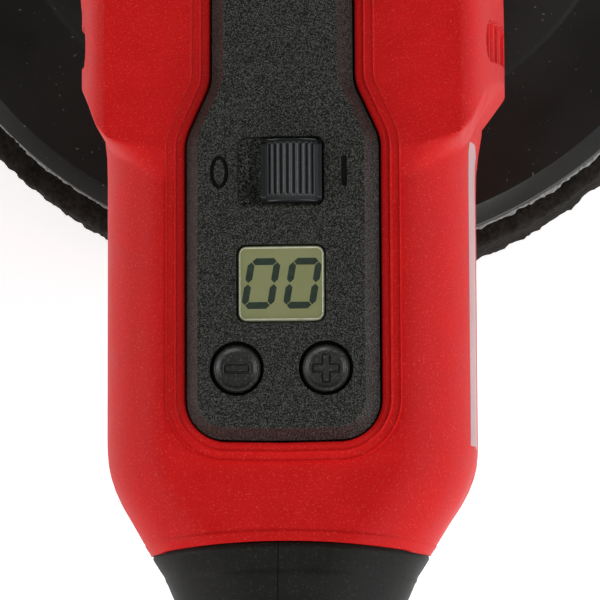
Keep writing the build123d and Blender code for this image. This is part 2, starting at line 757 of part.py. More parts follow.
def make_gauge_button():
    """The small button that lights the charge indicator, with its flange inside the case."""
    stem = tube(2.4, 0, -0.4, 3.4) + tube(3.6, 0, 2.6, 3.4)
    return Pos(8, PACK_REAR, 83) * Rot(-90, 0, 0) * stem


def make_cells():
    """Ten round cells in two rows of five."""
    made = []
    for row in range(2):
        for i in range(5):
            y = PACK_SPLIT - CELL_R - 2.4 - row * CELL_PITCH
            z = CELL_Z + (i - 2) * CELL_PITCH
            made.append(Pos(0, y, z) * Rot(0, 90, 0) * Cylinder(CELL_R, CELL_LENGTH))
    return Compound(made)


def make_battery_board():
    """The battery's own board behind the terminals."""
    return block(-26, 26, -283, -284.6, 14, 98)


def make_latch():
    """The battery's release button with its nose and three finger ridges."""
    button = block(-12.6, 12.6, -267.2, -276, 103, 119)
    button = fillet(button.edges().filter_by(Axis.X), 1.2)
    for i in range(3):
        button -= Pos(0, -267.2, 113.6 + i * 1.9) * Rot(0, 90, 0) * Cylinder(0.45, 18)
    return button + block(-9, 9, -264.3, -268, 105, 108.4)


def make_latch_spring():
    """The bowed leaf spring behind the release button."""
    bow = 20.0
    crest = -278.7
    leaf = tube(bow, bow - 0.35, 108, 113).moved(Location((0, crest - bow, 0)))
    return leaf & block(-6.8, 6.8, crest + 1, -280, 100, 120)


# ---------------------------------------------------------------- front handle


def handle_point(x, reach):
    """A point of the handle's plane, which leans forward from the side bosses."""
    lean = radians(HANDLE_TILT)
    return (x, reach * cos(lean), MOTOR_Z + reach * sin(lean))


def make_handle_frame():
    """The bow-shaped front handle's frame: two eyes, two arms and the cross bar."""
    path = FilletPolyline(
        handle_point(-47, 6),
        handle_point(-HANDLE_HALF, 34),
        handle_point(-HANDLE_HALF + 2, HANDLE_REACH),
        handle_point(HANDLE_HALF - 2, HANDLE_REACH),
        handle_point(HANDLE_HALF, 34),
        handle_point(47, 6),
        radius=18,
    )
    frame = sweep(Plane(path @ 0, z_dir=path % 0) * Circle(BAR_R), path)
    for side in (-1, 1):
        eye = Rot(0, 90, 0) * Cylinder(13, 10)
        frame += Pos(side * 43, 0, MOTOR_Z) * eye
        frame -= Pos(side * 43, 0, MOTOR_Z) * Rot(0, 90, 0) * Cylinder(4.2, 30)
        frame -= Pos(side * 53, 0, MOTOR_Z) * Rot(0, 90, 0) * Cylinder(9.5, 10)
        frame -= block(side * 20, side * 38, -20, 20, MOTOR_Z - 20, MOTOR_Z + 16)
    return frame


def make_handle_grip():
    """The soft sleeve on the front handle's cross bar."""
    centre = handle_point(0, HANDLE_REACH)
    half = 37.0
    profile = [
        (BAR_R, -half), (14.5, -half), (16, -half + 3), (15, -half + 12), (15.8, 0),
        (15, half - 12), (16, half - 3), (14.5, half), (BAR_R, half),
    ]
    return Pos(*centre) * Rot(0, 90, 0) * turned(profile)


def make_handle_washers():
    """The damping washers between the gear head and the handle's eyes."""
    made = []
    for side in (-1, 1):
        washer = Cylinder(10.5, 0.5) - Cylinder(4.3, 2)
        made.append(Pos(side * 37.75, 0, MOTOR_Z) * Rot(0, 90, 0) * washer)
    return Compound(made)


def make_handle_bolts():
    """The two socket-head bolts that hold the front handle."""
    made = []
    for side in (-1, 1):
        bolt = tube(4.0, 0, 28, 48) + tube(6.5, 0, 48, 54)
        bolt -= Pos(0, 0, 50.5) * extrude(RegularPolygon(3.4, 6), 5)
        made.append(Pos(0, 0, MOTOR_Z) * Rot(0, side * 90, 0) * bolt)
    return Compound(made)


def make_cover_screws():
    """The four screws of the bearing cover."""
    one = Pos(0, 0, 52) * Rot(180, 0, 0) * screw(13, 1.85, 3.4, 2.0)
    return Compound(ring_of(one, 4, COVER_SCREW_R, 45))


def make_flange_screws():
    """The four screws that hold the gear head to the housing."""
    one = Rot(-90, 0, 0) * screw(14, 1.8, 3.2, 2.4)
    return Compound([Pos(x, -28, z) * one for x, z in flange_screw_places()])


# ---------------------------------------------------------------- assembly


def all_parts():
    """Every piece by its node's name."""
    body = make_body()
    return {
        "foam_pad": make_foam_pad(),
        "hook_and_loop_layer": tube(FLEECE_R, 0, PAD_T, PLATE_Z),
        "backing_plate": make_backing_plate(),
        "plate_insert": make_plate_insert(),
        "spindle": make_spindle(),
        "spindle_bearing": make_spindle_bearing(),
        "spindle_top_bush": make_top_bush(),
        "bevel_gear": make_bevel_gear(),
        "pinion": make_pinion(),
        "bearing_cover": make_bearing_cover(),
        "gear_housing": make_gear_housing(),
        "spindle_lock_button": make_lock_button(),
        "spindle_lock_spring": make_lock_spring(),
        "pinion_bearing": make_pinion_bearing(),
        "armature": make_armature(),
        "cooling_fan": make_fan(),
        "fan_baffle": make_fan_baffle(),
        "motor_can": make_motor_can(),
        "motor_magnets": make_magnets(),
        "motor_end_bell": make_end_bell(),
        "carbon_brushes": make_brushes(),
        "housing_left": make_housing(-1, body),
        "housing_right": make_housing(1, body),
        "battery_mount": make_battery_mount(),
        "grip_left": make_grip(-1),
        "grip_right": make_grip(1),
        "rating_label": make_label(),
        "housing_screws": make_housing_screws(),
        "control_panel": make_control_panel(),
        "switch_knob": make_switch_knob(),
        "power_switch": make_power_switch(),
        "minus_button": make_button(-1),
        "plus_button": make_button(1),
        "lcd_window": make_lcd_window(),
        "lcd_module": make_lcd_module(),
        "control_board": make_control_board(),
        "control_board_screws": make_board_screws(),
        "button_switches": make_button_switches(),
        "speed_controller": make_speed_controller(),
        "motor_wires": make_motor_wires(),
        "battery_wires": make_battery_wires(),
        "terminal_block": make_terminal_block(),
        "battery_case_front": make_pack_front(),
        "battery_case_rear": make_pack_rear(),
        "charge_gauge": make_charge_gauge(),
        "gauge_button": make_gauge_button(),
        "battery_cells": make_cells(),
        "battery_board": make_battery_board(),
        "battery_latch": make_latch(),
        "battery_latch_spring": make_latch_spring(),
        "front_handle_frame": make_handle_frame(),
        "front_handle_grip": make_handle_grip(),
        "front_handle_washers": make_handle_washers(),
        "front_handle_bolts": make_handle_bolts(),
        "bearing_cover_screws": make_cover_screws(),
        "gear_housing_screws": make_flange_screws(),
    }


os.makedirs("parts", exist_ok=True)
for name, shape in all_parts().items():
    export_step(shape, f"parts/{name}.step")
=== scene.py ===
"""Looks for a cordless disc polisher with a control panel on top: every length below is in
millimetres in the part's own frame (+Y towards the gear head, +Z up) until mesh() scales it."""

import json
import math

import bpy
import numpy as np
from mathutils import Euler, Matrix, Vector, noise


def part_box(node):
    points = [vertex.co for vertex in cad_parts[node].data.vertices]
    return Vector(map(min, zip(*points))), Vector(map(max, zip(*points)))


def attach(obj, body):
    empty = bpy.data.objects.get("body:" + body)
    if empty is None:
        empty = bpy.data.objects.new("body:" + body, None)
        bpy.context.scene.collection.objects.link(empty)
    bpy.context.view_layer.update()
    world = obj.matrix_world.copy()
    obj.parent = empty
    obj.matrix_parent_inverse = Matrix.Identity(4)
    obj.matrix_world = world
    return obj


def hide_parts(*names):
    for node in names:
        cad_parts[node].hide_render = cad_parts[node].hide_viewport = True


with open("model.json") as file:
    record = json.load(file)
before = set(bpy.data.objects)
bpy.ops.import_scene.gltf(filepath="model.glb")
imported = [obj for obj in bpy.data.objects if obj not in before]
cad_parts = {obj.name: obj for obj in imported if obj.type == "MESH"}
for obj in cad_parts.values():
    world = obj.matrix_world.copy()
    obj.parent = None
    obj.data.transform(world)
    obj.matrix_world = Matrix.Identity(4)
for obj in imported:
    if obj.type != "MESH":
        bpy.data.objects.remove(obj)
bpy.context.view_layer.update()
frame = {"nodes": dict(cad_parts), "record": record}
MM = 0.001


# ---------------------------------------------------------------- materials


class Look:
    """A node material around one Principled shader, with textures placed in millimetres."""

    def __init__(self, name, roughness=0.5, metallic=0.0, specular=0.5, coat=0.0, coat_rough=0.05, sheen=0.0):
        self.mat = bpy.data.materials.new(name)
        self.mat.use_nodes = True
        self.tree = self.mat.node_tree
        self.shader = self.tree.nodes["Principled BSDF"]
        sockets = self.shader.inputs
        sockets["Roughness"].default_value = roughness
        sockets["Metallic"].default_value = metallic
        sockets["Specular IOR Level"].default_value = specular
        sockets["Coat Weight"].default_value = coat
        sockets["Coat Roughness"].default_value = coat_rough
        sockets["Sheen Weight"].default_value = sheen
        self.coords = self.tree.nodes.new("ShaderNodeTexCoord").outputs["Object"]
        self.heights = []

    def join(self, output, socket):
        """Links an output to a socket."""
        self.tree.links.new(output, socket)

    def stretched(self, scale):
        """Texture coordinates stretched by a factor along each axis."""
        mapping = self.tree.nodes.new("ShaderNodeMapping")
        mapping.inputs["Scale"].default_value = scale
        self.join(self.coords, mapping.inputs["Vector"])
        return mapping.outputs["Vector"]

    def grain(self, size, detail=3.0, rough=0.55, scale=None):
        """Noise whose lumps are about size millimetres across."""
        made = self.tree.nodes.new("ShaderNodeTexNoise")
        made.inputs["Scale"].default_value = 1 / (size * MM)
        made.inputs["Detail"].default_value = detail
        made.inputs["Roughness"].default_value = rough
        self.join(self.stretched(scale) if scale else self.coords, made.inputs["Vector"])
        return made.outputs["Fac"]

    def cells(self, size):
        """Distance to scattered points about size millimetres apart."""
        made = self.tree.nodes.new("ShaderNodeTexVoronoi")
        made.inputs["Scale"].default_value = 1 / (size * MM)
        self.join(self.coords, made.inputs["Vector"])
        return made.outputs["Distance"]

    def span(self, value, low, high, to_low=0.0, to_high=1.0):
        """A value mapped from one range to another, clamped."""
        made = self.tree.nodes.new("ShaderNodeMapRange")
        self.join(value, made.inputs["Value"])
        for name, number in zip(("From Min", "From Max", "To Min", "To Max"), (low, high, to_low, to_high)):
            made.inputs[name].default_value = number
        return made.outputs["Result"]

    def blend(self, factor, first, second):
        """A colour between two colours or colour outputs."""
        made = self.tree.nodes.new("ShaderNodeMix")
        made.data_type = "RGBA"
        self.join(factor, made.inputs["Factor"])
        for colour, socket in ((first, made.inputs["A"]), (second, made.inputs["B"])):
            if isinstance(colour, tuple):
                socket.default_value = (*colour, 1)
            else:
                self.join(colour, socket)
        return made.outputs["Result"]

    def paint(self, colour):
        """Takes the base colour from an output."""
        self.join(colour, self.shader.inputs["Base Color"])

    def vary_roughness(self, value, low, high):
        """Takes the roughness from a noise value, low where the noise is low."""
        self.join(self.span(value, 0.3, 0.7, low, high), self.shader.inputs["Roughness"])

    def emboss(self, height, depth):
        """Adds a bump of a real depth in millimetres."""
        self.heights.append((height, depth))

    def finish(self, edge=0.0):
        """Chains the bumps over edges rounded by a radius in millimetres."""
        normal = None
        if edge:
            bevel = self.tree.nodes.new("ShaderNodeBevel")
            bevel.samples = 6
            bevel.inputs["Radius"].default_value = edge * MM
            normal = bevel.outputs["Normal"]
        for height, depth in self.heights:
            bump = self.tree.nodes.new("ShaderNodeBump")
            bump.inputs["Distance"].default_value = depth * MM
            bump.inputs["Strength"].default_value = 1.0
            self.join(height, bump.inputs["Height"])
            if normal:
                self.join(normal, bump.inputs["Normal"])
            normal = bump.outputs["Normal"]
        if normal:
            self.join(normal, self.shader.inputs["Normal"])
        return self.mat


def moulded(name, dark, light, roughness, grain, depth, glint_colour=None, specks=(0.70, 0.76), edge=0.0, **more):
    """Moulded plastic or rubber: mottled colour, spark-eroded grain, uneven gloss and light specks painted in
    as glints of the grain's sparkle.
    """
    look = Look(name, roughness=roughness, **more)
    fine = look.grain(grain, 2.0, 0.6)
    broad = look.grain(grain * 22, 3.0)
    colour = look.blend(look.span(broad, 0.35, 0.65), dark, light)
    colour = look.blend(look.span(fine, 0.2, 0.75, 0.0, 0.5), colour, tuple(c * 0.78 for c in dark))
    if glint_colour:
        # Painted glints: pale specks stand in for the grain's sparkle in highlights.
        glint_dots = look.grain(grain * 1.25, 1.0, 0.4)
        colour = look.blend(look.span(glint_dots, *specks), colour, glint_colour)
    look.paint(colour)
    look.vary_roughness(broad, roughness - 0.04, roughness + 0.05)
    look.emboss(fine, depth)
    return look.finish(edge)


def metal(name, dark, light, roughness, scale=(1, 1, 1), edge=0.15):
    """Machined or cast metal with fine marks along one direction."""
    look = Look(name, roughness=roughness, metallic=1.0)
    marks = look.grain(0.5, 4.0, 0.6, scale)
    look.paint(look.blend(look.span(marks, 0.3, 0.7), dark, light))
    look.vary_roughness(marks, roughness - 0.08, roughness + 0.1)
    look.emboss(marks, 0.012)
    return look.finish(edge)


def panel_grain(name="panel_grain", lift=1.0):
    """Black plastic with a coarse pebbled texture whose high points are painted lighter: a painted highlight
    on the pebbles' tips.
    """
    look = Look(name, roughness=0.5, specular=0.22)
    pebbles = look.grain(0.24, 1.0, 0.5)
    large = look.grain(1.1, 2.0)
    base = look.blend(look.span(large, 0.35, 0.65), (0.0022, 0.0022, 0.0015), (0.0040, 0.0041, 0.0032))
    # The tips' pale colour is a painted highlight, scaled by lift.
    tip_highlight = tuple(lift * c for c in (0.088, 0.089, 0.079))
    look.paint(look.blend(look.span(pebbles, 0.42, 0.74), base, tip_highlight))
    look.vary_roughness(pebbles, 0.55, 0.42)
    look.emboss(pebbles, 0.12)
    look.emboss(large, 0.05)
    return look.finish(0.35)


def foam_look():
    """Cut open-cell foam: grey-brown, dusty and mottled, with painted shade darkening its pits."""
    look = Look("foam_cut", roughness=0.95, specular=0.08)
    pores = look.cells(1.1)
    dust = look.grain(2.6, 5.0, 0.65)
    base = look.blend(look.span(dust, 0.32, 0.68), (0.010, 0.0088, 0.0066), (0.026, 0.0235, 0.0192))
    # The pits are painted darkest: painted shade in the open cells.
    look.paint(look.blend(look.span(pores, 0.0, 0.55), (0.008, 0.0068, 0.0052), base))
    look.emboss(pores, 0.15)
    look.emboss(look.grain(0.5, 4.0), 0.12)
    return look.finish()


def plate_look():
    """Smooth black plate with a thin film of dust and a few pale specks."""
    look = Look("plate_dusty", roughness=0.38, specular=0.3)
    film = look.grain(26, 4.0, 0.6)
    base = look.blend(look.span(film, 0.35, 0.7), (0.0062, 0.0060, 0.0044), (0.0100, 0.0094, 0.0074))
    specks = look.grain(0.75, 0.0, 0.0)
    base = look.blend(look.span(specks, 0.80, 0.86), base, (0.10, 0.10, 0.09))
    look.paint(base)
    look.vary_roughness(film, 0.34, 0.46)
    look.emboss(look.grain(0.6, 2.0), 0.012)
    return look.finish()


def fuzz_look():
    """Pale fibres of the hook-and-loop face."""
    look = Look("loop_fibres", roughness=0.95, sheen=0.6)
    fibres = look.grain(0.55, 4.0, 0.7)
    look.paint(look.blend(look.span(fibres, 0.35, 0.62), (0.035, 0.033, 0.030), (0.30, 0.31, 0.30)))
    look.emboss(fibres, 0.3)
    return look.finish()


def display_look():
    """The reflective film of the display behind its glossy window."""
    look = Look("display_film", roughness=0.4, specular=0.3, coat=0.5, coat_rough=0.08)
    cloud = look.grain(7, 2.0)
    look.paint(look.blend(look.span(cloud, 0.35, 0.65), (0.215, 0.228, 0.098), (0.240, 0.250, 0.116)))
    look.emboss(look.grain(3.5, 1.0), 0.015)
    return look.finish()


def digit_look():
    """The dark segments of the display."""
    look = Look("display_digits", roughness=0.4, specular=0.3, coat=0.5, coat_rough=0.08)
    look.paint(look.blend(look.span(look.grain(1.2), 0.3, 0.7), (0.016, 0.028, 0.019), (0.028, 0.044, 0.030)))
    return look.finish()


def sunk_mark_shade_look():
    """Matt black painted shade in the sunk marks, darkening them as shade in the grooves would; its tone
    varies at random.
    """
    look = Look("sunk_mark_painted_shade", roughness=0.8, specular=0.2)
    shade_mottle = look.span(look.grain(0.4), 0.3, 0.7)
    look.paint(look.blend(shade_mottle, (0.0015, 0.0015, 0.0015), (0.004, 0.004, 0.004)))
    return look.finish()


def rim_highlight_look():
    """The clear rounded edge of the window, painted pale yellow as a painted highlight where it pipes light.
    """
    look = Look("window_rim", roughness=0.12, coat=1.0)
    # Pale yellow painted highlight, not a clear material.
    look.paint(look.blend(look.span(look.grain(1.5), 0.3, 0.7), (0.62, 0.62, 0.42), (0.85, 0.85, 0.65)))
    return look.finish()


RED_DARK, RED_LIGHT = (0.600, 0.0060, 0.0062), (0.655, 0.0078, 0.0078)
BLACK_DARK, BLACK_LIGHT = (0.010, 0.010, 0.0095), (0.016, 0.016, 0.015)
looks = {
    "foam": foam_look(),
    "fleece": fuzz_look(),
    "plate_rubber": plate_look(),
    "steel": metal("turned_steel", (0.35, 0.35, 0.35), (0.62, 0.62, 0.61), 0.32, (1, 1, 6)),
    "bronze": metal("sintered_bronze", (0.35, 0.22, 0.09), (0.58, 0.42, 0.20), 0.45),
    "black_casting": moulded("painted_casting", BLACK_DARK, (0.021, 0.021, 0.02), 0.38, 0.7, 0.05, edge=0.5),
    "copper_core": metal("wound_copper", (0.35, 0.13, 0.05), (0.62, 0.28, 0.12), 0.4, (1, 8, 1)),
    "can_steel": metal("plated_steel", (0.35, 0.35, 0.37), (0.58, 0.58, 0.6), 0.35),
    "ferrite": moulded("ferrite", (0.03, 0.03, 0.032), (0.05, 0.05, 0.053), 0.6, 0.5, 0.03),
    "white_plastic": moulded(
        "white_moulding", (0.55, 0.55, 0.52), (0.65, 0.65, 0.62), 0.5, 0.5, 0.02, edge=0.2
    ),
    "carbon": moulded("carbon", (0.012, 0.012, 0.012), (0.03, 0.03, 0.03), 0.55, 0.4, 0.03),
    # The housing's pale pink specks are painted glints.
    "red_plastic": moulded(
        "red_housing", RED_DARK, RED_LIGHT, 0.52, 0.26, 0.06, glint_colour=(0.68, 0.05, 0.035), specks=(0.60, 0.80),
        specular=0.14,
    ),
    "grip_rubber": moulded(
        "grip_rubber", (0.0070, 0.0068, 0.0052), (0.0105, 0.0102, 0.0082), 0.6, 0.30, 0.05,
        glint_colour=(0.026, 0.026, 0.024), specks=(0.60, 0.80), specular=0.2,
    ),
    "label": moulded("label_film", (0.50, 0.30, 0.30), (0.60, 0.38, 0.38), 0.5, 0.6, 0.01, specular=0.2),
    "panel_plastic": panel_grain(),
    "knob_plastic": moulded(
        "knob_plastic", (0.022, 0.0245, 0.0255), (0.030, 0.0330, 0.0345), 0.32, 0.3, 0.03
    ),
    "button_plastic": moulded(
        "button_plastic", (0.0155, 0.0160, 0.0140), (0.023, 0.0235, 0.0205), 0.38, 0.36, 0.045,
        glint_colour=(0.06, 0.06, 0.055), specks=(0.58, 0.72), specular=0.45,
    ),
    "black_plastic": moulded("black_moulding", BLACK_DARK, BLACK_LIGHT, 0.45, 0.5, 0.03, edge=0.3),
    "clear_window": rim_highlight_look(),
    "lcd_green": display_look(),
    "circuit_board": moulded("solder_mask", (0.01, 0.12, 0.04), (0.02, 0.2, 0.07), 0.35, 0.8, 0.02),
    "aluminium": metal("extruded_aluminium", (0.5, 0.5, 0.52), (0.75, 0.75, 0.77), 0.35, (1, 6, 1)),
    "wire_red": moulded("wire_insulation", (0.42, 0.015, 0.015), (0.55, 0.02, 0.02), 0.4, 0.6, 0.02),
    "battery_plastic": moulded(
        "battery_plastic", BLACK_DARK, (0.019, 0.019, 0.0185), 0.48, 0.5, 0.06, edge=0.5
    ),
    "red_button": moulded("red_button", RED_DARK, RED_LIGHT, 0.32, 0.4, 0.02, edge=0.4),
    "cell_sleeve": moulded("cell_sleeve", (0.03, 0.15, 0.33), (0.05, 0.22, 0.44), 0.3, 0.8, 0.01),
    "zinc_screw": metal("black_zinc", (0.10, 0.10, 0.10), (0.25, 0.25, 0.25), 0.4),
}
for part in frame["record"]["subparts"]:
    cad_object = frame["nodes"][part["node"]]
    cad_object.data.materials.clear()
    cad_object.data.materials.append(looks[part["material_slot"]])


# ---------------------------------------------------------------- mesh helpers


def mesh(name, points, faces, body, replaced=(), slot=None, sharp=38.0, materials=None, of_face=None):
    """A piece from points in millimetres: welded, smooth but for its sharp edges, riding on a body."""
    data = bpy.data.meshes.new(name)
    data.from_pydata([tuple(p) for p in np.asarray(points, float) * MM], [], faces)
    if of_face is not None:
        data.polygons.foreach_set("material_index", of_face)
    data.validate()
    for material in materials or [looks[slot]]:
        data.materials.append(material)
    made = bpy.data.objects.new(name, data)
    bpy.context.scene.collection.objects.link(made)
    weld = made.modifiers.new("weld", "WELD")
    weld.merge_threshold = 0.004 * MM
    bpy.context.view_layer.update()
    welded = bpy.data.meshes.new_from_object(made.evaluated_get(bpy.context.evaluated_depsgraph_get()))
    made.modifiers.clear()
    made.data = welded
    for polygon in welded.polygons:
        polygon.use_smooth = True
    welded.set_sharp_from_angle(angle=math.radians(sharp))
    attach(made, body)
    if replaced:
        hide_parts(*replaced)
    return made


def grid_faces(rows, columns, closed=False, flip=False):
    """Quads over a grid of points stored row by row."""
    faces = []
    for i in range(rows - 1):
        for j in range(columns if closed else columns - 1):
            k = (j + 1) % columns
            quad = (i * columns + j, i * columns + k, (i + 1) * columns + k, (i + 1) * columns + j)
            faces.append(tuple(reversed(quad)) if flip else quad)
    return faces


def revolved(profile, segments, wobble=None):
    """Points and faces of (radius, z) turned about Z, with an optional wobble(angle, index) -> (dr, dz)."""
    points = []
    for index, (radius, z) in enumerate(profile):
        for k in range(segments):
            angle = 2 * math.pi * k / segments
            dr, dz = wobble(angle, index) if wobble else (0, 0)
            points.append(((radius + dr) * math.cos(angle), (radius + dr) * math.sin(angle), z + dz))
    return points, grid_faces(len(profile), segments, closed=True)


def ring_profile(centre, outline_at, profile):
    """A closed form stacked from outlines: outline_at(inset) gives its points, profile its (inset, z)."""
    points, count = [], None
    for inset, z in profile:
        ring = outline_at(inset)
        count = len(ring)
        points += [(centre[0] + x, centre[1] + y, z) for x, y in ring]
    faces = grid_faces(len(profile), count, closed=True)
    faces.append(tuple(range((len(profile) - 1) * count, len(profile) * count)))
    return points, faces


def rounded_rectangle(half_x, half_y, corner, steps=10):
    """A function that gives a rounded rectangle's outline drawn in by an inset."""

    def outline(inset):
        radius = max(corner - inset, 0.05)
        ring = []
        for quarter in range(4):
            cx = (half_x - inset - radius) * (1 if quarter in (0, 3) else -1)
            cy = (half_y - inset - radius) * (1 if quarter in (0, 1) else -1)
            for k in range(steps + 1):
                angle = math.pi / 2 * (quarter + k / steps)
                ring.append((cx + radius * math.cos(angle), cy + radius * math.sin(angle)))
        return ring

    return outline


def slab(outline, z_low, z_high):
    """A flat prism from an outline of (x, y) points, without its underside."""
    count = len(outline)
    points = [(x, y, z_low) for x, y in outline] + [(x, y, z_high) for x, y in outline]
    faces = [tuple(range(count, 2 * count))]
    faces += [(k, (k + 1) % count, count + (k + 1) % count, count + k) for k in range(count)]
    return points, faces


def joined(shapes):
    """One list of points and faces from several."""
    points, faces = [], []
    for shape_points, shape_faces in shapes:
        faces += [tuple(n + len(points) for n in face) for face in shape_faces]
        points += list(shape_points)
    return points, faces


def smooth(value):
    """0 to 1 with soft ends."""
    value = np.clip(value, 0, 1)
    return value * value * (3 - 2 * value)


def between(value, low, high, soft):
    """1 inside a range and 0 outside it, with sides soft wide."""
    return smooth((value - low + soft) / soft) * smooth((high + soft - value) / soft)


# ---------------------------------------------------------------- red housing

RING_TOP = 125.5  # the raised surround next to the panel
FLAT_TOP = 124.35
BULGE_TOP = 125.4
LABEL_LOW, LABEL_HIGH = 92.0, 112.0
LABEL_REAR, LABEL_FRONT = -133.2, -77.8
LABEL_SUNK = 0.12
PANEL_GAP = 0.35
RING_WIDTH = 3.7
PANEL_REAR_CORNER = 6.8
PATCH_X = 21.2  # where the mesh around the panel hands over to the flank's
CORNER_END = -137.8  # where it hands over to the tail's
GRIP_EDGE = -149.7
BOW = 0.0036  # how fast the grip's edge curves back, per millimetre of X squared
BULGE_REAR = -77.0
CREASE_Y, CREASE_END_Y = -64.6, -71.3  # the facet behind the bulge, low on the flank
VENT_LOW, VENT_HIGH = -64.5, -57.2
VENT_SLANT = 0.11
VENT_TOP, VENT_BOTTOM = 118.0, 81.0
VENT_PITCH, VENT_SLOT, VENT_ROWS = 5.5, 3.3, 6
VENT_RECESS, VENT_CUT = 0.75, 2.2
AFT_ANGLE = math.asin((31.2 - 20.35) / 13.0)  # where the aft corner starts below the bulge's edge


def grip_bow(x, y):
    """How far the grip's curved edge lies behind its middle, fading out up the body."""
    return -BOW * x * x * smooth((-139.0 - y) / 10.7)


def panel_edge(step=0.15):
    """The right half of the panel's base outline from the front to the rear, with outward normals."""
    corners = [(12.4, -34.0), (12.4, -69.4), (16.9, -79.2), (16.9, -131.8), (0.0, -131.8)]
    radii = [0, 8.0, 8.0, PANEL_REAR_CORNER, 0]
    points = [np.array(corners[0])]
    for i in range(1, 4):
        before, at, after = (np.array(corners[k]) for k in (i - 1, i, i + 1))
        u, v = (before - at) / np.linalg.norm(before - at), (after - at) / np.linalg.norm(after - at)
        half = math.acos(np.clip(u @ v, -1, 1)) / 2
        reach = radii[i] / math.tan(half)
        centre = at + (u + v) / np.linalg.norm(u + v) * radii[i] / math.sin(half)
        start, end = at + u * reach - centre, at + v * reach - centre
        turn = math.atan2(start[0] * end[1] - start[1] * end[0], start @ end)
        for k in range(25):
            a = turn * k / 24
            spin = np.array([[math.cos(a), -math.sin(a)], [math.sin(a), math.cos(a)]])
            points.append(centre + spin @ start)
    points.append(np.array(corners[-1]))
    points = np.array(points)
    points[:, 1] -= 0.5 * np.clip(1 - (points[:, 0] / 16.9) ** 2, 0, 1) * (points[:, 1] < -125)
    lengths = np.r_[0, np.cumsum(np.linalg.norm(np.diff(points, axis=0), axis=1))]
    at = np.arange(0, lengths[-1], step)
    at = np.r_[at, lengths[-1]]
    line = np.c_[np.interp(at, lengths, points[:, 0]), np.interp(at, lengths, points[:, 1])]
    along = np.gradient(line, axis=0)
    along[-1] = (-1, 0)
    normal = np.c_[-along[:, 1], along[:, 0]]
    return line, normal / np.linalg.norm(normal, axis=1)[:, None]


def aft_numbers(y):
    """Half width, top, lowest z, upper corner's width and height, lower corner radius behind the bulge."""
    stations = np.array([
        # y       half   top     low    a      b     r_low
        (-151.95, 24.7, 126.05, 84.0, 16.0, 16.0, 17.0),
        (-149.8, 26.20, 125.95, 82.5, 15.8, 16.0, 17.5),
        (-146.0, 28.45, 125.5, 79.0, 15.2, 16.2, 18.0),
        (-143.2, 30.2, 125.15, 74.4, 14.6, 16.8, 18.0),
        (-140.5, 31.55, 124.85, 70.0, 14.0, 17.6, 18.0),
        (-138.0, 32.50, 124.6, 67.4, 13.5, 18.4, 18.0),
        (-135.8, 33.05, 124.42, 65.4, 13.2, 19.2, 18.0),
        (-133.4, 33.30, FLAT_TOP, 64.0, 13.0, 19.5, 18.0),
        (-131.0, 33.35, FLAT_TOP, 63.8, 13.0, 19.5, 18.0),
        (-84.0, 33.35, FLAT_TOP, 60.8, 13.0, 19.5, 18.0),
        (-80.0, 33.45, FLAT_TOP, 60.6, 13.0, 19.5, 18.0),
        (-76.0, 33.90, FLAT_TOP, 60.5, 13.0, 19.5, 18.0),
        (-72.0, 34.60, FLAT_TOP, 60.4, 13.0, 19.5, 18.0),
        (-34.0, 35.00, FLAT_TOP, 60.4, 13.0, 19.5, 18.0),
    ])
    return [np.interp(y, stations[:, 0], stations[:, k]) for k in range(1, 7)]


def bulge_numbers(y):
    """Half width, top, lowest z and corner sizes over the motor."""
    stations = np.array([
        (-77.0, 39.05, BULGE_TOP, 57.5, 7.85, 35.0, 20.0),
        (-53.0, 39.05, BULGE_TOP, 57.5, 7.85, 35.0, 20.0),
        (-49.0, 39.00, 125.3, 57.8, 6.5, 30.0, 20.0),
        (-45.0, 38.90, 125.2, 57.9, 6.5, 30.0, 20.0),
        (-40.0, 38.30, 124.8, 58.5, 8.0, 32.0, 20.0),
        (-34.0, 37.2, 123.4, 60.2, 11.0, 32.0, 20.0),
    ])
    return [np.interp(y, stations[:, 0], stations[:, k]) for k in range(1, 7)]


def crease(raw):
    """0 to 1 in a straight line with slightly rounded ends."""
    raw, soft = np.clip(raw, 0, 1), 0.08
    eased = np.where(raw < soft, raw * raw / (2 * soft), raw - soft / 2)
    eased = np.where(raw > 1 - soft, 1 - soft - (1 - raw) ** 2 / (2 * soft), eased)
    return eased / (1 - soft)


def top_scoop(x, y):
    """How far the bulge's flat top has turned into the aft body's at a point."""
    upper = np.interp(x, (20.7, 22.7, 26.4, 29.4, 31.3), (-80.4, -80.2, -79.8, -79.3, -78.4))
    lower = np.interp(x, (20.7, 23.6, 25.3, 28.5, 31.3), (-86.5, -85.6, -84.2, -81.9, -79.9))
    return crease((upper - y) / (upper - lower))


def top_height(x, y):
    """Height of the body's upper face."""
    half, top, _, a, b, _ = aft_numbers(y)
    over = np.clip((x - (half - a)) / a, 0, 1)
    aft = top - b * (1 - np.sqrt(1 - over * over))
    half, top, _, a, b, _ = bulge_numbers(y)
    over = np.clip((x - (half - a)) / a, 0, 1)
    bulge = top - b * (1 - np.sqrt(1 - over * over))
    w = top_scoop(x, y)
    return bulge * (1 - w) + aft * w


def section_point(kind, t, y, family):
    """A point of a cross-section: kind says which stretch, t how far along it."""
    half, top, low, a, b, r = family(y)
    start = 0.0 if family is bulge_numbers else AFT_ANGLE
    if kind == "top":
        x = PATCH_X + t * (half - a + a * math.sin(start) - PATCH_X)
        over = np.clip((x - (half - a)) / a, 0, 1)
        return x, top - b * (1 - np.sqrt(1 - over * over))
    if kind == "corner":
        angle = start + t * (math.pi / 2 - start)
        return half - a + a * np.sin(angle), top - b + b * np.cos(angle)
    if kind == "side":
        return half, (top - b) + t * (low + r - top + b)
    if kind == "lower":
        angle = t * math.pi / 2
        return half - r + r * np.cos(angle), low + r - r * np.sin(angle)
    return (half - r) * (1 - t), low


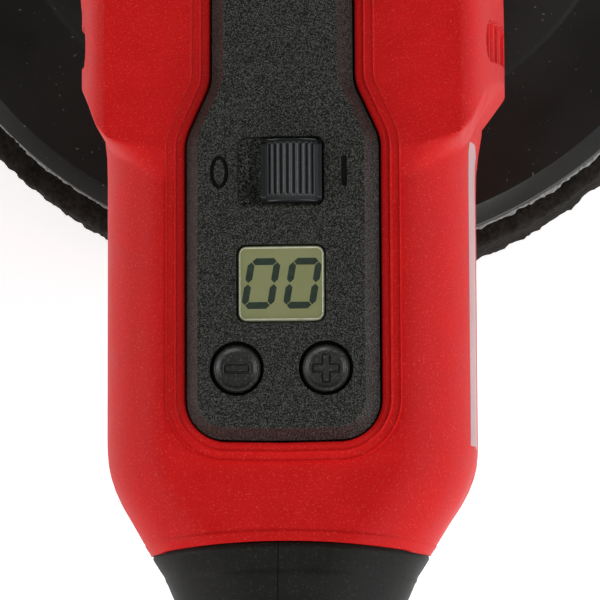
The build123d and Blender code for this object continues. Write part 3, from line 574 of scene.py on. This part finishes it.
def scoop(kind, t, y):
    """How far the bulge's flank has turned into the aft body's: 0 ahead of its upper crease, 1 behind."""
    if kind == "corner":
        upper = np.interp(t, (0, 0.18, 0.40, 0.66, 1), (-78.4, -75.7, -69.6, -66.6, CREASE_Y))
        lower = np.interp(t, (0, 0.40, 0.66, 1), (-79.9, -77.6, -74.6, CREASE_END_Y))
    else:
        upper, lower = CREASE_Y, CREASE_END_Y
    return crease((upper - y) / (upper - lower))


def vent_depth(y, z):
    """Depth of the air intake's slots at a place on the bulge's flank."""
    y = y - VENT_SLANT * (VENT_TOP - z)
    middle, half = (VENT_LOW + VENT_HIGH) / 2, (VENT_HIGH - VENT_LOW) / 2
    across = np.clip(np.abs(y - middle) / half, 0, 1)
    head = VENT_TOP - 2.8 * (1 - np.sqrt(1 - across ** 2))
    slots = between(z, VENT_TOP - 3.7, head, 0.3)
    for k in range(VENT_ROWS):
        top = VENT_TOP - 5.6 - VENT_PITCH * k
        slots = np.maximum(slots, between(z, top - VENT_SLOT, top, 0.3))
    recess = VENT_RECESS * smooth((VENT_TOP - 3.2 - z) / 1.5) * smooth((z - VENT_BOTTOM) / 1.0)
    return (recess + VENT_CUT * slots) * between(y, VENT_LOW + 0.2, VENT_HIGH - 0.2, 0.25)


def lip(y):
    """The slightly raised collar in front of the grip."""
    return 0.22 * smooth((GRIP_EDGE + 2.0 - y) / 0.35)


def housing_half(name, side):
    """One half of the red housing as one continuous skin with its rims folded in."""
    line, normal = panel_edge()
    ring = line + normal * (PANEL_GAP + RING_WIDTH)
    side_rows = np.r_[
        np.arange(-34, -55, -1.2), np.arange(-55, -66.2, -0.34), np.arange(-66.2, -77.5, -0.42),
        np.arange(-77.5, -88, -0.3), np.arange(-88, -124.9, -1.6), [-125.0],
    ]
    last = np.argmax(ring[:, 1] < -125.0)
    at = np.interp(-side_rows, -ring[:last + 1, 1], np.arange(last + 1))
    corner_index = np.linspace(at[-1], len(line) - 1, 96)[1:]
    at = np.r_[at, corner_index]
    index = np.arange(len(line))
    inner = np.c_[np.interp(at, index, line[:, 0]), np.interp(at, index, line[:, 1])]
    out = np.c_[np.interp(at, index, normal[:, 0]), np.interp(at, index, normal[:, 1])]
    heading = np.arctan2(-out[:, 1], out[:, 0])
    turn = int(np.argmax(heading > math.radians(52)))
    rows = len(at)
    target = np.zeros((rows, 2))
    straight = len(side_rows)
    target[:straight] = np.c_[np.full(straight, PATCH_X), side_rows]
    target[straight - 1:turn + 1] = np.c_[
        np.full(turn + 2 - straight, PATCH_X), np.linspace(-125.0, CORNER_END, turn + 2 - straight)]
    target[turn:] = np.c_[np.linspace(PATCH_X, 0, rows - turn), np.full(rows - turn, CORNER_END)]

    rim = [(0.0, 121.0), (0.0, RING_TOP - 0.35), (0.08, RING_TOP - 0.12), (0.25, RING_TOP)]
    steps = [0.9, 1.44, 1.51, 1.58, 1.65, 1.72, 1.8, 1.9, 2.0, 2.6]
    steps += [3.08, 3.15, 3.22, 3.29, 3.36, 3.44, 3.55, RING_WIDTH]
    patch, columns = [], len(rim) + len(steps) + 10

    def ring_rise(d, main):
        """Height over the main face: the panel's surround steps down to it past two fine beads."""
        level = max(RING_TOP - main, 0)
        step = 1 - 0.45 * smooth((d - 1.62) / 0.25) - 0.55 * smooth((d - 3.3) / 0.25)
        bead = 0.14 * between(d, 1.58, 1.68, 0.14) + 0.14 * between(d, 3.22, 3.32, 0.14)
        return level * float(step) + float(bead)

    for i in range(rows):
        for d, z in rim:
            x, y = inner[i] + out[i] * (PANEL_GAP + d)
            sink = min(0, float(top_height(x, y)) - FLAT_TOP) if z > 122 else 0
            patch.append((x, y, z + sink))
        for d in steps:
            x, y = inner[i] + out[i] * (PANEL_GAP + d)
            main = float(top_height(x, y))
            patch.append((x, y, main + ring_rise(d, main) if main > 123.4 else main))
        edge = inner[i] + out[i] * (PANEL_GAP + steps[-1])
        for k in range(1, 11):
            x, y = edge + (target[i] - edge) * k / 10
            patch.append((x, y, float(top_height(x, y))))
    shapes = [(patch, grid_faces(rows, columns))]

    tail_rows = np.r_[np.linspace(CORNER_END, -146.6, 15), np.arange(-146.75, GRIP_EDGE, -0.18), [GRIP_EDGE]]
    tail_x = target[turn:, 0]
    tail = []
    for y in tail_rows:
        for x in tail_x:
            y_at = y + float(grip_bow(x, y))
            tail.append((x, y_at, float(top_height(x, y_at)) + float(lip(y))))
    shapes.append((tail, grid_faces(len(tail_rows), len(tail_x), flip=True)))

    flank_rows = np.r_[target[:turn + 1, 1], tail_rows[1:]]
    kinds = [("top", 14), ("corner", 110), ("side", 24), ("lower", 12), ("under", 8)]
    flank_columns = []
    for kind, count in kinds:
        flank_columns += [(kind, (k + 1) / count) for k in range(count)]
    flank_columns = [("top", 0.0)] + flank_columns
    grid = np.zeros((len(flank_rows), len(flank_columns), 3))
    y0 = flank_rows
    for j, (kind, t) in enumerate(flank_columns):
        x_far, _ = section_point(kind, t, y0, aft_numbers)
        y = y0 + grip_bow(x_far, y0)
        x_aft, z_aft = section_point(kind, t, y, aft_numbers)
        x_bulge, z_bulge = section_point(kind, t, np.maximum(y, BULGE_REAR), bulge_numbers)
        if kind == "top":
            x = np.where(y > -100, x_bulge, x_aft)
            z = top_height(x, y)
        else:
            w = scoop(kind, t, y)
            x = x_bulge * (1 - w) + x_aft * w
            z = z_bulge * (1 - w) + z_aft * w
        raised = lip(y0)
        if kind in ("top", "corner"):
            angle = t * math.pi / 2 if kind == "corner" else 0
            z = z + raised * math.cos(angle)
            x = x + raised * math.sin(angle)
        elif kind == "side":
            x = x + raised
        else:
            z = z - raised * (1 if kind == "under" else t)
        grid[:, j] = np.c_[x, y, z]
    for j, (kind, t) in enumerate(flank_columns):
        if kind not in ("corner", "side"):
            continue
        y, z = grid[:, j, 1], grid[:, j, 2]
        depth = vent_depth(y, z)
        if side > 0:
            along = between(y, LABEL_REAR, LABEL_FRONT, 0.25)
            depth = depth + LABEL_SUNK * along * between(z, LABEL_LOW - 0.3, LABEL_HIGH + 0.3, 0.25)
        grid[:, j, 0] -= depth
    shapes.append((grid.reshape(-1, 3), grid_faces(len(flank_rows), len(flank_columns), flip=True)))

    for row, sign in ((-1, 1.0), (0, -1.0)):
        ends = np.concatenate([grid[row][::-1], np.array(tail[-len(tail_x):])[1:]]) if row else grid[0][::-1]
        middle = np.array([0.0, 0.0, (ends[:, 2].max() + ends[:, 2].min()) / 2])
        folded = [ends]
        for inset, shift in ((1.6, 0.02), (1.6, 3.0)):
            inward = (middle - ends) * np.array([1, 0, 1])
            inward = inward / np.maximum(np.linalg.norm(inward, axis=1), 1)[:, None]
            folded.append(ends + inward * inset + np.array([0, sign * shift, 0]))
        shapes.append((np.concatenate(folded), grid_faces(3, len(ends), flip=row < 0)))

    points, faces = joined(shapes)
    points = np.array(points) * np.array([side, 1, 1])
    if side > 0:
        faces = [tuple(reversed(f)) for f in faces]
    return mesh(name, points, faces, "machine", [name.replace("_skin", "")], "red_plastic", sharp=50)


housing_half("housing_left_skin", -1)
housing_half("housing_right_skin", 1)


def label_piece():
    """The blank label, curved with the flank inside its pocket."""
    rows, columns, thick = 60, 30, 0.2
    angles = np.linspace(0, math.pi / 2, 60)
    points = []
    for y in np.linspace(LABEL_REAR + 0.4, LABEL_FRONT - 0.4, rows):
        half, top, _, a, b, _ = aft_numbers(y)
        line = np.array([(half - a + a * math.sin(t), top - b + b * math.cos(t)) for t in angles])
        for z in np.linspace(LABEL_HIGH - 0.2, LABEL_LOW + 0.2, columns):
            x = np.interp(-z, -line[:, 1], line[:, 0])
            points.append((x - LABEL_SUNK / 2, y, z))
    grid = np.array(points).reshape(rows, columns, 3)
    back = grid - np.array([thick, 0, 0])
    border = np.concatenate([grid[0], grid[1:, -1], grid[-1, -2::-1], grid[-2:0:-1, 0]])
    wall = np.concatenate([border, border - np.array([thick, 0, 0])])
    points, faces = joined([
        (grid.reshape(-1, 3), grid_faces(rows, columns, flip=True)),
        (back.reshape(-1, 3), grid_faces(rows, columns)),
        (wall, grid_faces(2, len(border), closed=True)),
    ])
    return mesh("rating_label_film", points, faces, "machine", ["rating_label"], "label", 50)


label_piece()


# ---------------------------------------------------------------- soft grip


def grip_numbers(y):
    """Half width, top, lowest z, upper and lower corner radius along the grip."""
    stations = np.array([
        # y       half  top     low   r_top r_low
        (-242.0, 21.5, 125.0, 84.0, 18.0, 17.0),
        (-232.0, 19.9, 125.3, 85.2, 17.5, 16.8),
        (-225.0, 19.0, 125.5, 86.0, 17.0, 16.5),
        (-195.0, 18.6, 126.0, 86.5, 17.0, 16.5),
        (-170.0, 19.6, 126.2, 87.0, 17.0, 17.0),
        (-162.0, 20.2, 126.2, 86.6, 17.0, 17.0),
        (-157.0, 21.8, 126.1, 86.0, 17.0, 17.0),
        (-151.9, 24.7, 125.9, 84.2, 16.0, 17.0),
        (-149.6, 26.2, 125.8, 83.4, 16.0, 17.0),
    ])
    return [np.interp(y, stations[:, 0], stations[:, k]) for k in range(1, 6)]


SEAM_X = -1.0  # where the seam meets the collar
SEAM_STEP = 0.5  # the seam underneath is set over by this, so nothing shows through both
SEAM_GAP = 0.06  # from the seam's middle to each half


def grip_half(name, side):
    """One half of the soft grip, its front edge tucked under the red collar and a seam on top."""
    rows = np.r_[np.arange(-149.8, -162, -0.35), np.arange(-162, -240.5, -1.6), [-241.0, -241.6, -242.0]]
    count = 56
    points = []
    for y in rows:
        for j in range(count + 1):
            s = j / count
            shift = -BOW * 25 ** 2 * smooth((y + 165) / 15)
            half, top, low, r_top, r_low = grip_numbers(y + shift * 0.6)
            if s < 0.22:
                x, z = (half - r_top) * s / 0.22, top
            elif s < 0.55:
                angle = (s - 0.22) / 0.33 * math.pi / 2
                x, z = half - r_top + r_top * math.sin(angle), top - r_top + r_top * math.cos(angle)
            elif s < 0.62:
                x, z = half, (top - r_top) + (s - 0.55) / 0.07 * (low + r_low - top + r_top)
            elif s < 0.92:
                angle = (s - 0.62) / 0.30 * math.pi / 2
                x, z = half - r_low + r_low * math.cos(angle), low + r_low - r_low * math.sin(angle)
            else:
                x, z = (half - r_low) * (1 - (s - 0.92) / 0.08), low
            y_at = y - BOW * x * x * float(smooth((y + 165) / 14))
            front = float(smooth((-149.8 - y) / 0.9))
            ridge = 0.28 * float(smooth((-154.4 - y) / 1.1)) - 0.28 * float(smooth((-156.0 - y) / 5.0))
            grow = ridge - 0.55 * (1 - front) - 0.12
            centre = (top + low) / 2
            length = max(math.hypot(x, z - centre), 1)
            x, z = x + x / length * grow, z + (z - centre) / length * grow
            wave = 0.09 * noise.noise(Vector((3.1, y * 0.55, 0.0)))
            wave += 0.05 * noise.noise(Vector((7.0, y * 1.9, 0)))
            seam = SEAM_X * float(smooth((y + 185) / 25)) + wave
            meeting = seam + side * SEAM_GAP - (SEAM_STEP if j > count / 2 else 0)
            points.append((meeting if j in (0, count) else side * max(x, side * meeting), y_at, z))
    points = np.array(points).reshape(len(rows), count + 1, 3)
    seam_top, seam_low = points[:, :1].copy(), points[:, -1:].copy()
    seam_top[:, :, 2] -= 1.6
    seam_low[:, :, 2] += 1.6
    points = np.concatenate([seam_top, points, seam_low], axis=1)
    tuck = points[:1].copy()
    tuck[:, :, 1] += 0.1
    middle = np.array([0, 0, 105.0])
    tuck += (middle - tuck) * np.array([1, 0, 1]) * 0.1
    points = np.concatenate([tuck, points], axis=0)
    faces = grid_faces(points.shape[0], points.shape[1], flip=side < 0)
    return mesh(name, points.reshape(-1, 3), faces, "machine", [name.replace("_skin", "")], "grip_rubber", 60)


grip_half("grip_left_skin", -1)
grip_half("grip_right_skin", 1)


# ---------------------------------------------------------------- disc


def torn(angle, amount, size, seed):
    """A ragged offset along a circle."""
    at = Vector((math.cos(angle) * size, math.sin(angle) * size, seed))
    rough = noise.noise(at) + 0.5 * noise.noise(at * 2.3) + 0.35 * noise.noise(at * 6.1)
    return amount * rough


foam_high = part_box("foam_pad")[1]
foam_r, foam_z = foam_high.x / MM, foam_high.z / MM
PAD_SHIFT = -1.5  # the pad is pressed on a little off centre
foam_profile = [(0.5, 0.0), (30, 0.0), (60, 0.0), (84, 0.0), (91.2, 0.2), (93.4, 1.3), (94.1, 3)]
foam_profile += [(94.1, z) for z in np.linspace(5, foam_z - 2.6, 18)]
foam_profile += [(93.9, foam_z - 1.6), (93.4, foam_z - 0.9), (92.4, foam_z - 0.45), (91.8, foam_z - 0.25)]
foam_profile += [(r, foam_z - 0.2) for r in (*np.linspace(91.2, 86, 9), 60, 20)]


def foam_wobble(angle, index):
    """The torn, uneven cut of the pad's side and upper rim."""
    radius, z = foam_profile[index]
    if radius < 85:
        return 0, 0
    ragged = torn(angle, 0.55, 26, z * 0.12) + torn(angle, 0.2, 90, 4 + z * 0.3)
    if z > foam_z - 1.2:
        at = Vector((math.cos(angle) * radius * 0.8, math.sin(angle) * radius * 0.8, 9.0))
        lift = 0.28 * noise.noise(at)
        return min(ragged, foam_r + 1 - radius), min(lift, foam_z - z)
    return min(ragged, foam_r + 1 - radius), 0 if z > 4 else abs(ragged) * 0.1


pad_points, pad_faces = revolved(foam_profile, 900, foam_wobble)
pad_points = np.array(pad_points) + np.array([PAD_SHIFT, 0, 0])
pad = mesh("foam_pad_soft", pad_points, pad_faces, "disc", ["foam_pad"], "foam", 75)

loop_profile = [(84, 25.1), (88.3, 25.1), (89.4, 25.2), (90.1, 25.6), (90.15, 26.2), (89.6, 26.9), (84, 27.0)]


def loop_wobble(angle, index):
    """The frayed edge of the hook-and-loop layer."""
    radius, _ = loop_profile[index]
    if radius < 89:
        return 0, 0
    out = torn(angle, 0.42, 60, 2.0 + index * 0.4) + torn(angle, 0.3, 16, 5.0)
    return out, torn(angle, 0.15, 60, 8.0 + index)


mesh(
    "hook_and_loop_fringe", *revolved(loop_profile, 1080, loop_wobble), "disc",
    ["hook_and_loop_layer"], "fleece", 75,
)

plate_profile = [
    (8.2, 27.0), (84, 27.0), (86, 28.0), (89.2, 28.0), (89.75, 28.25), (90.0, 28.8), (90.0, 31.2),
    (89.85, 31.8), (89.4, 32.2), (86.9, 34.7), (86.45, 34.98), (85.9, 35.02), (76, 35.3), (66.6, 35.58),
    (66.3, 35.62), (66.15, 35.75), (65.95, 36.1), (65.8, 36.24), (65.5, 36.3), (50, 37.2), (34.3, 38.48),
    (33.6, 38.6), (28.4, 43.6), (27.8, 43.95), (27.0, 44.0), (14.0, 44.0),
]
plate_points, plate_faces = revolved(plate_profile, 360)
mesh("backing_plate_skin", plate_points, plate_faces, "disc", ["backing_plate"], "plate_rubber", 24)


def fibre(name, start, heading, length, curl, radius=0.07):
    """A hair-like fibre of foam standing off the pad's rim."""
    spine, steps = [np.array(start)], 12
    for k in range(steps):
        turn = heading + curl * k / steps
        spine.append(spine[-1] + length / steps * np.array([math.cos(turn), math.sin(turn), 0.02 * (6 - k)]))
    points = []
    for k, at in enumerate(spine):
        r = radius * (1 - 0.8 * k / steps)
        for c in range(6):
            a = math.pi * c / 3
            points.append(at + r * np.array([math.cos(a), 0, math.sin(a)]))
    return mesh(name, points, grid_faces(steps + 1, 6, closed=True), "disc", slot="foam", sharp=80)


fibre("foam_fibre_a", (84.6, -37.5, 24.6), -1.9, 4.6, 1.5)
fibre("foam_fibre_b", (-84.0, -37.0, 24.4), -2.4, 2.2, -1.0)


# ---------------------------------------------------------------- control panel pieces

KNOB_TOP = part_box("switch_knob")[1].z / MM
KNOB_X, KNOB_Y = 1.9, -85.6
KNOB_HALF_X, KNOB_HALF_Y = 5.3, 5.4
RIB_PITCH = 1.12
RIB_DEPTH = 0.62
BARREL_R = 6.6


def knob_height(x, y):
    """The ribbed barrel: ribs along Y over the middle, with smooth shoulders and rounded ends."""
    barrel = KNOB_TOP - 0.1 - BARREL_R + np.sqrt(BARREL_R ** 2 - x * x)
    around = BARREL_R * np.arcsin(x / BARREL_R)
    rib = np.sqrt(np.clip(0.5 + 0.5 * np.cos(2 * math.pi * (around - 0.12) / RIB_PITCH), 0, 1))
    ribbed = between(around, -4.25, 4.5, 0.15) * smooth((KNOB_HALF_Y - 0.75 - np.abs(y)) / 0.35)
    side_drop = 2.1 * (1 - between(around, -4.4, 4.65, 0.5))
    plain = 0.35 * (1 - ribbed) + side_drop * np.clip((barrel - 130.9) / 2.1, 0, 1)
    end = 1.5 * np.clip((np.abs(y) - (KNOB_HALF_Y - 0.85)) / 0.75, 0, 1) ** 1.5
    return barrel + 0.08 - RIB_DEPTH * ribbed * (1 - rib) - plain - end


def knob_piece():
    """The slide switch's ribbed knob on the carrier plate that shows through the slot."""
    xs = np.linspace(-KNOB_HALF_X, KNOB_HALF_X, 190)
    ys = np.r_[np.linspace(-KNOB_HALF_Y, -KNOB_HALF_Y + 1.2, 14), np.linspace(-4, 4, 9),
               np.linspace(KNOB_HALF_Y - 1.2, KNOB_HALF_Y, 14)]
    top = [(x, y, float(knob_height(x, y))) for y in ys for x in xs]
    shapes = [(top, grid_faces(len(ys), len(xs)))]
    border = [(x, ys[0]) for x in xs] + [(xs[-1], y) for y in ys[1:]]
    border += [(x, ys[-1]) for x in xs[::-1][1:]] + [(xs[0], y) for y in ys[::-1][1:-1]]
    wall = [(x, y, float(knob_height(x, y))) for x, y in border] + [(x, y, 126.4) for x, y in border]
    shapes.append((wall, grid_faces(2, len(border), closed=True, flip=True)))
    plate, prong = rounded_rectangle(10.2, 7.4, 1.0), rounded_rectangle(1.0, 1.4, 0.2)
    shapes.append(ring_profile((0, 0), plate, [(0, 125.6), (0, 127.2), (0.1, 127.3)]))
    shapes.append(ring_profile((0, 0), prong, [(0.1, 125.7), (0, 125.6), (0, 122.8)]))
    plain_faces = len(shapes[0][1]) + len(shapes[1][1])
    points, faces = joined(shapes)
    points = np.array(points) + np.array([KNOB_X, KNOB_Y, 0])
    of_face = [0 if k < plain_faces else 1 for k in range(len(faces))]
    # The slot floor is the panel grain with its tip highlight painted 2.5 times as bright: painted light on a
    # floor that lies in shade.
    return mesh(
        "switch_knob_skin", points, faces, "power_slider", ["switch_knob"], "knob_plastic", 42,
        materials=[looks["knob_plastic"], panel_grain("slot_floor_painted_light", 2.5)], of_face=of_face,
    )


knob_piece()

BUTTON_X, BUTTON_Y, BUTTON_R = 7.75, -120.0, 4.15
BUTTON_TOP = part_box("plus_button")[1].z / MM
SIGN_HALF, SIGN_LINE = 0.76, 0.3


def button_height(x, y, plus):
    """A dished cap with a rounded rim and its sign outlined by a groove."""
    r = np.hypot(x, y)
    rim = BUTTON_TOP - 0.42 * smooth((3.62 - r) / 0.75) - 1.1 * np.clip((r - 3.72) / 0.43, 0, 1) ** 2
    arm, rise = (4.7 if plus else 4.3) / 2, 2.5
    bars = [(x, arm, y)] + ([(y, rise, x)] if plus else [])
    groove, island = (
        max(
            between(along, -reach + inset, reach - inset, 0.12)
            * between(across, -SIGN_HALF + inset, SIGN_HALF - inset, 0.12)
            for along, reach, across in bars
        )
        for inset in (0, SIGN_LINE)
    )
    return rim - 0.45 * (groove - island) - 0.08 * island


def button_piece(name, side, body):
    """A speed button: its cap, its side and the flange that holds it under the panel."""
    n = 150
    line = np.linspace(-1, 1, n)
    points = []
    for v in line:
        for u in line:
            x = u * math.sqrt(1 - v * v / 2) * BUTTON_R
            y = v * math.sqrt(1 - u * u / 2) * BUTTON_R
            points.append((x, y, float(button_height(x, y, side > 0))))
    shapes = [(points, grid_faces(n, n))]
    ring = [(math.cos(a), math.sin(a)) for a in np.linspace(0, 2 * math.pi, 96, endpoint=False)]
    profile = [(BUTTON_R, BUTTON_TOP - 1.12), (BUTTON_R, 126.0), (5.2, 125.95), (5.25, 124.9), (0.5, 124.85)]
    skirt = [(r * c, r * s, z) for r, z in profile for c, s in ring]
    shapes.append((skirt, grid_faces(len(profile), len(ring), closed=True, flip=True)))
    points, faces = joined(shapes)
    points = np.array(points) + np.array([side * BUTTON_X, BUTTON_Y, 0])
    cad_name = "plus_button" if side > 0 else "minus_button"
    return mesh(name, points, faces, body, [cad_name], "button_plastic", 60)


button_piece("minus_button_skin", -1, "minus")
button_piece("plus_button_skin", 1, "plus")

MARK_LOW, MARK_TOP = 129.6, 129.66
ZERO_X, BAR_X = -10.75, 11.05


def panel_mark_shade():
    """Dark inserts of painted shade at the bottom of the sunk 0 and I beside the slide switch."""
    steps = [2 * math.pi * k / 48 for k in range(48)]
    outer, inner = (1.62, 2.87), (0.98, 2.18)
    ring = []
    for (rx, ry), z in ((outer, MARK_TOP), (inner, MARK_TOP), (inner, MARK_LOW), (outer, MARK_LOW)):
        ring += [(ZERO_X + rx * math.cos(a), KNOB_Y + ry * math.sin(a), z) for a in steps]
    bar = ring_profile((BAR_X, KNOB_Y), rounded_rectangle(0.48, 2.63, 0.33), [(0, MARK_LOW), (0, MARK_TOP)])
    points, faces = joined([(ring, grid_faces(4, len(steps), closed=True, flip=True)), bar])
    return mesh("panel_mark_shade", points, faces, "machine", slot="panel_plastic", materials=[sunk_mark_shade_look()])


panel_mark_shade()

LCD_Y = -105.2
lcd_low, lcd_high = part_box("lcd_window")
LCD_TOP = lcd_high.z / MM
LCD_HALF_X, LCD_HALF_Y = (lcd_high.x - lcd_low.x) / 2 / MM, (lcd_high.y - lcd_low.y) / 2 / MM


def display_window():
    """The display's window: a rounded clear rim around the film."""
    profile = [(0.0, 126.9), (0.0, LCD_TOP - 0.55), (0.06, LCD_TOP - 0.32), (0.18, LCD_TOP - 0.14),
               (0.28, LCD_TOP - 0.04), (0.36, LCD_TOP - 0.01), (0.42, LCD_TOP - 0.03), (0.7, LCD_TOP - 0.04)]
    outline = rounded_rectangle(LCD_HALF_X, LCD_HALF_Y, 1.4)
    points, faces = ring_profile((0, LCD_Y), outline, profile)
    count = len(outline(0))
    of_face = [0 if k < 6 * count else 1 for k in range(len(faces))]
    return mesh(
        "lcd_window_skin", points, faces, "machine", ["lcd_window"], "clear_window", 60,
        materials=[looks["clear_window"], looks["lcd_green"]], of_face=of_face,
    )


def segment(a, b, wide, gap):
    """One bar of a digit between two corners, its ends cut to points."""
    along = (b - a) / np.linalg.norm(b - a)
    across = np.array([-along[1], along[0]]) * wide / 2
    tip, square = along * gap, along * (gap + wide / 2)
    near, far = a + square, b - square
    return [a + tip, near + across, far + across, b - tip, far - across, near - across]


def digit(x_left):
    """The slanted bars of a nought, leaving the middle bar off."""
    wide, tall, thick, lean = 4.5, 7.65, 1.2, math.tan(math.radians(9.5))
    left = [np.array([0, tall * k / 2]) for k in range(3)]
    right = [corner + np.array([wide, 0]) for corner in left]
    pairs = [(left[0], right[0]), (left[2], right[2]), *zip(left, left[1:]), *zip(right, right[1:])]
    film = LCD_TOP - 0.045
    shapes = []
    for first, second in pairs:
        outline = segment(first, second, thick, 0.1)
        placed = [(x_left + p[0] + p[1] * lean, LCD_Y - tall / 2 + p[1]) for p in outline]
        shapes.append(slab(placed, film - 0.05, film + 0.012))
    return shapes


display_window()
digits_points, digits_faces = joined(digit(-6.4) + digit(0.85))
mesh("lcd_digits", digits_points, digits_faces, "machine", slot="lcd_green", materials=[digit_look()])


# ---------------------------------------------------------------- studio


def stage_look():
    """A plain, almost white sweep that glows slightly so that shadows stay faint."""
    look = Look("studio_sweep", roughness=0.9)
    look.paint(look.blend(look.span(look.grain(300), 0.3, 0.7), (0.93, 0.93, 0.93), (0.96, 0.96, 0.96)))
    look.shader.inputs["Emission Color"].default_value = (1, 1, 1, 1)
    look.shader.inputs["Emission Strength"].default_value = 0.5
    return look.finish()


def floor():
    """A square floor just under the part, sized in metres."""
    data = bpy.data.meshes.new("floor")
    reach, z = 3.0, -0.0006
    corners = [(-reach, -reach, z), (reach, -reach, z), (reach, reach, z), (-reach, reach, z)]
    data.from_pydata(corners, [], [(0, 1, 2, 3)])
    made = bpy.data.objects.new("floor", data)
    data.materials.append(stage_look())
    bpy.context.scene.collection.objects.link(made)


def softbox(name, place, aim, size, power, colour):
    """A rectangular area light aimed at a point, all in metres."""
    light = bpy.data.lights.new(name, "AREA")
    light.shape = "RECTANGLE"
    light.size, light.size_y = size
    light.energy = power
    light.color = colour
    made = bpy.data.objects.new(name, light)
    made.location = place
    made.rotation_euler = (Vector(aim) - Vector(place)).to_track_quat("-Z", "Y").to_euler()
    bpy.context.scene.collection.objects.link(made)
    return made


floor()
softbox("high_right", (1.25, -0.15, 1.25), (0.0, -0.1, 0.1), (1.1, 1.4), 14, (0.98, 0.985, 1.0))
softbox("high_left", (-1.5, -0.1, 0.95), (0.0, -0.1, 0.1), (0.8, 1.2), 15, (1.0, 0.985, 0.965))
softbox("low_right", (1.5, -0.35, 0.5), (0.03, -0.1, 0.12), (1.2, 0.35), 5, (0.80, 0.92, 1.0))
softbox("rear", (0.25, -1.35, 0.75), (0.0, -0.15, 0.12), (1.2, 0.5), 9, (1.0, 0.99, 0.98))

world = bpy.data.worlds.new("studio")
world.use_nodes = True
bpy.context.scene.world = world
backdrop = world.node_tree.nodes["Background"]
backdrop.inputs["Color"].default_value = (0.95, 0.97, 1.0, 1)
backdrop.inputs["Strength"].default_value = 0.14
seen = world.node_tree.nodes.new("ShaderNodeBackground")
seen.inputs["Color"].default_value = (1, 1, 1, 1)
seen.inputs["Strength"].default_value = 1.0
path = world.node_tree.nodes.new("ShaderNodeLightPath")
choose = world.node_tree.nodes.new("ShaderNodeMixShader")
world.node_tree.links.new(path.outputs["Is Camera Ray"], choose.inputs["Fac"])
world.node_tree.links.new(backdrop.outputs["Background"], choose.inputs[1])
world.node_tree.links.new(seen.outputs["Background"], choose.inputs[2])
world.node_tree.links.new(choose.outputs["Shader"], world.node_tree.nodes["World Output"].inputs["Surface"])

panel_low, panel_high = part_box("control_panel")
FOCUS = Vector((3.3 * MM, panel_low.y + 24.1 * MM, panel_high.z))  # the point in the picture's middle
DISTANCE = 0.5278  # metres
TILT_FORWARD, TILT_SIDE, ROLL = 0.0956, 0.0691, -0.0043
camera_data = bpy.data.cameras.new("camera")
camera_data.lens = 182.7
camera_data.sensor_width = 36
camera_data.clip_start, camera_data.clip_end = 0.02, 20
camera = bpy.data.objects.new("camera", camera_data)
turned_by = Euler((TILT_FORWARD, TILT_SIDE, ROLL), "XYZ")
camera.rotation_euler = turned_by
camera.location = FOCUS + turned_by.to_matrix() @ Vector((0, 0, DISTANCE))
bpy.context.scene.collection.objects.link(camera)
bpy.context.scene.camera = camera
bpy.context.scene.view_settings.view_transform = "Standard"
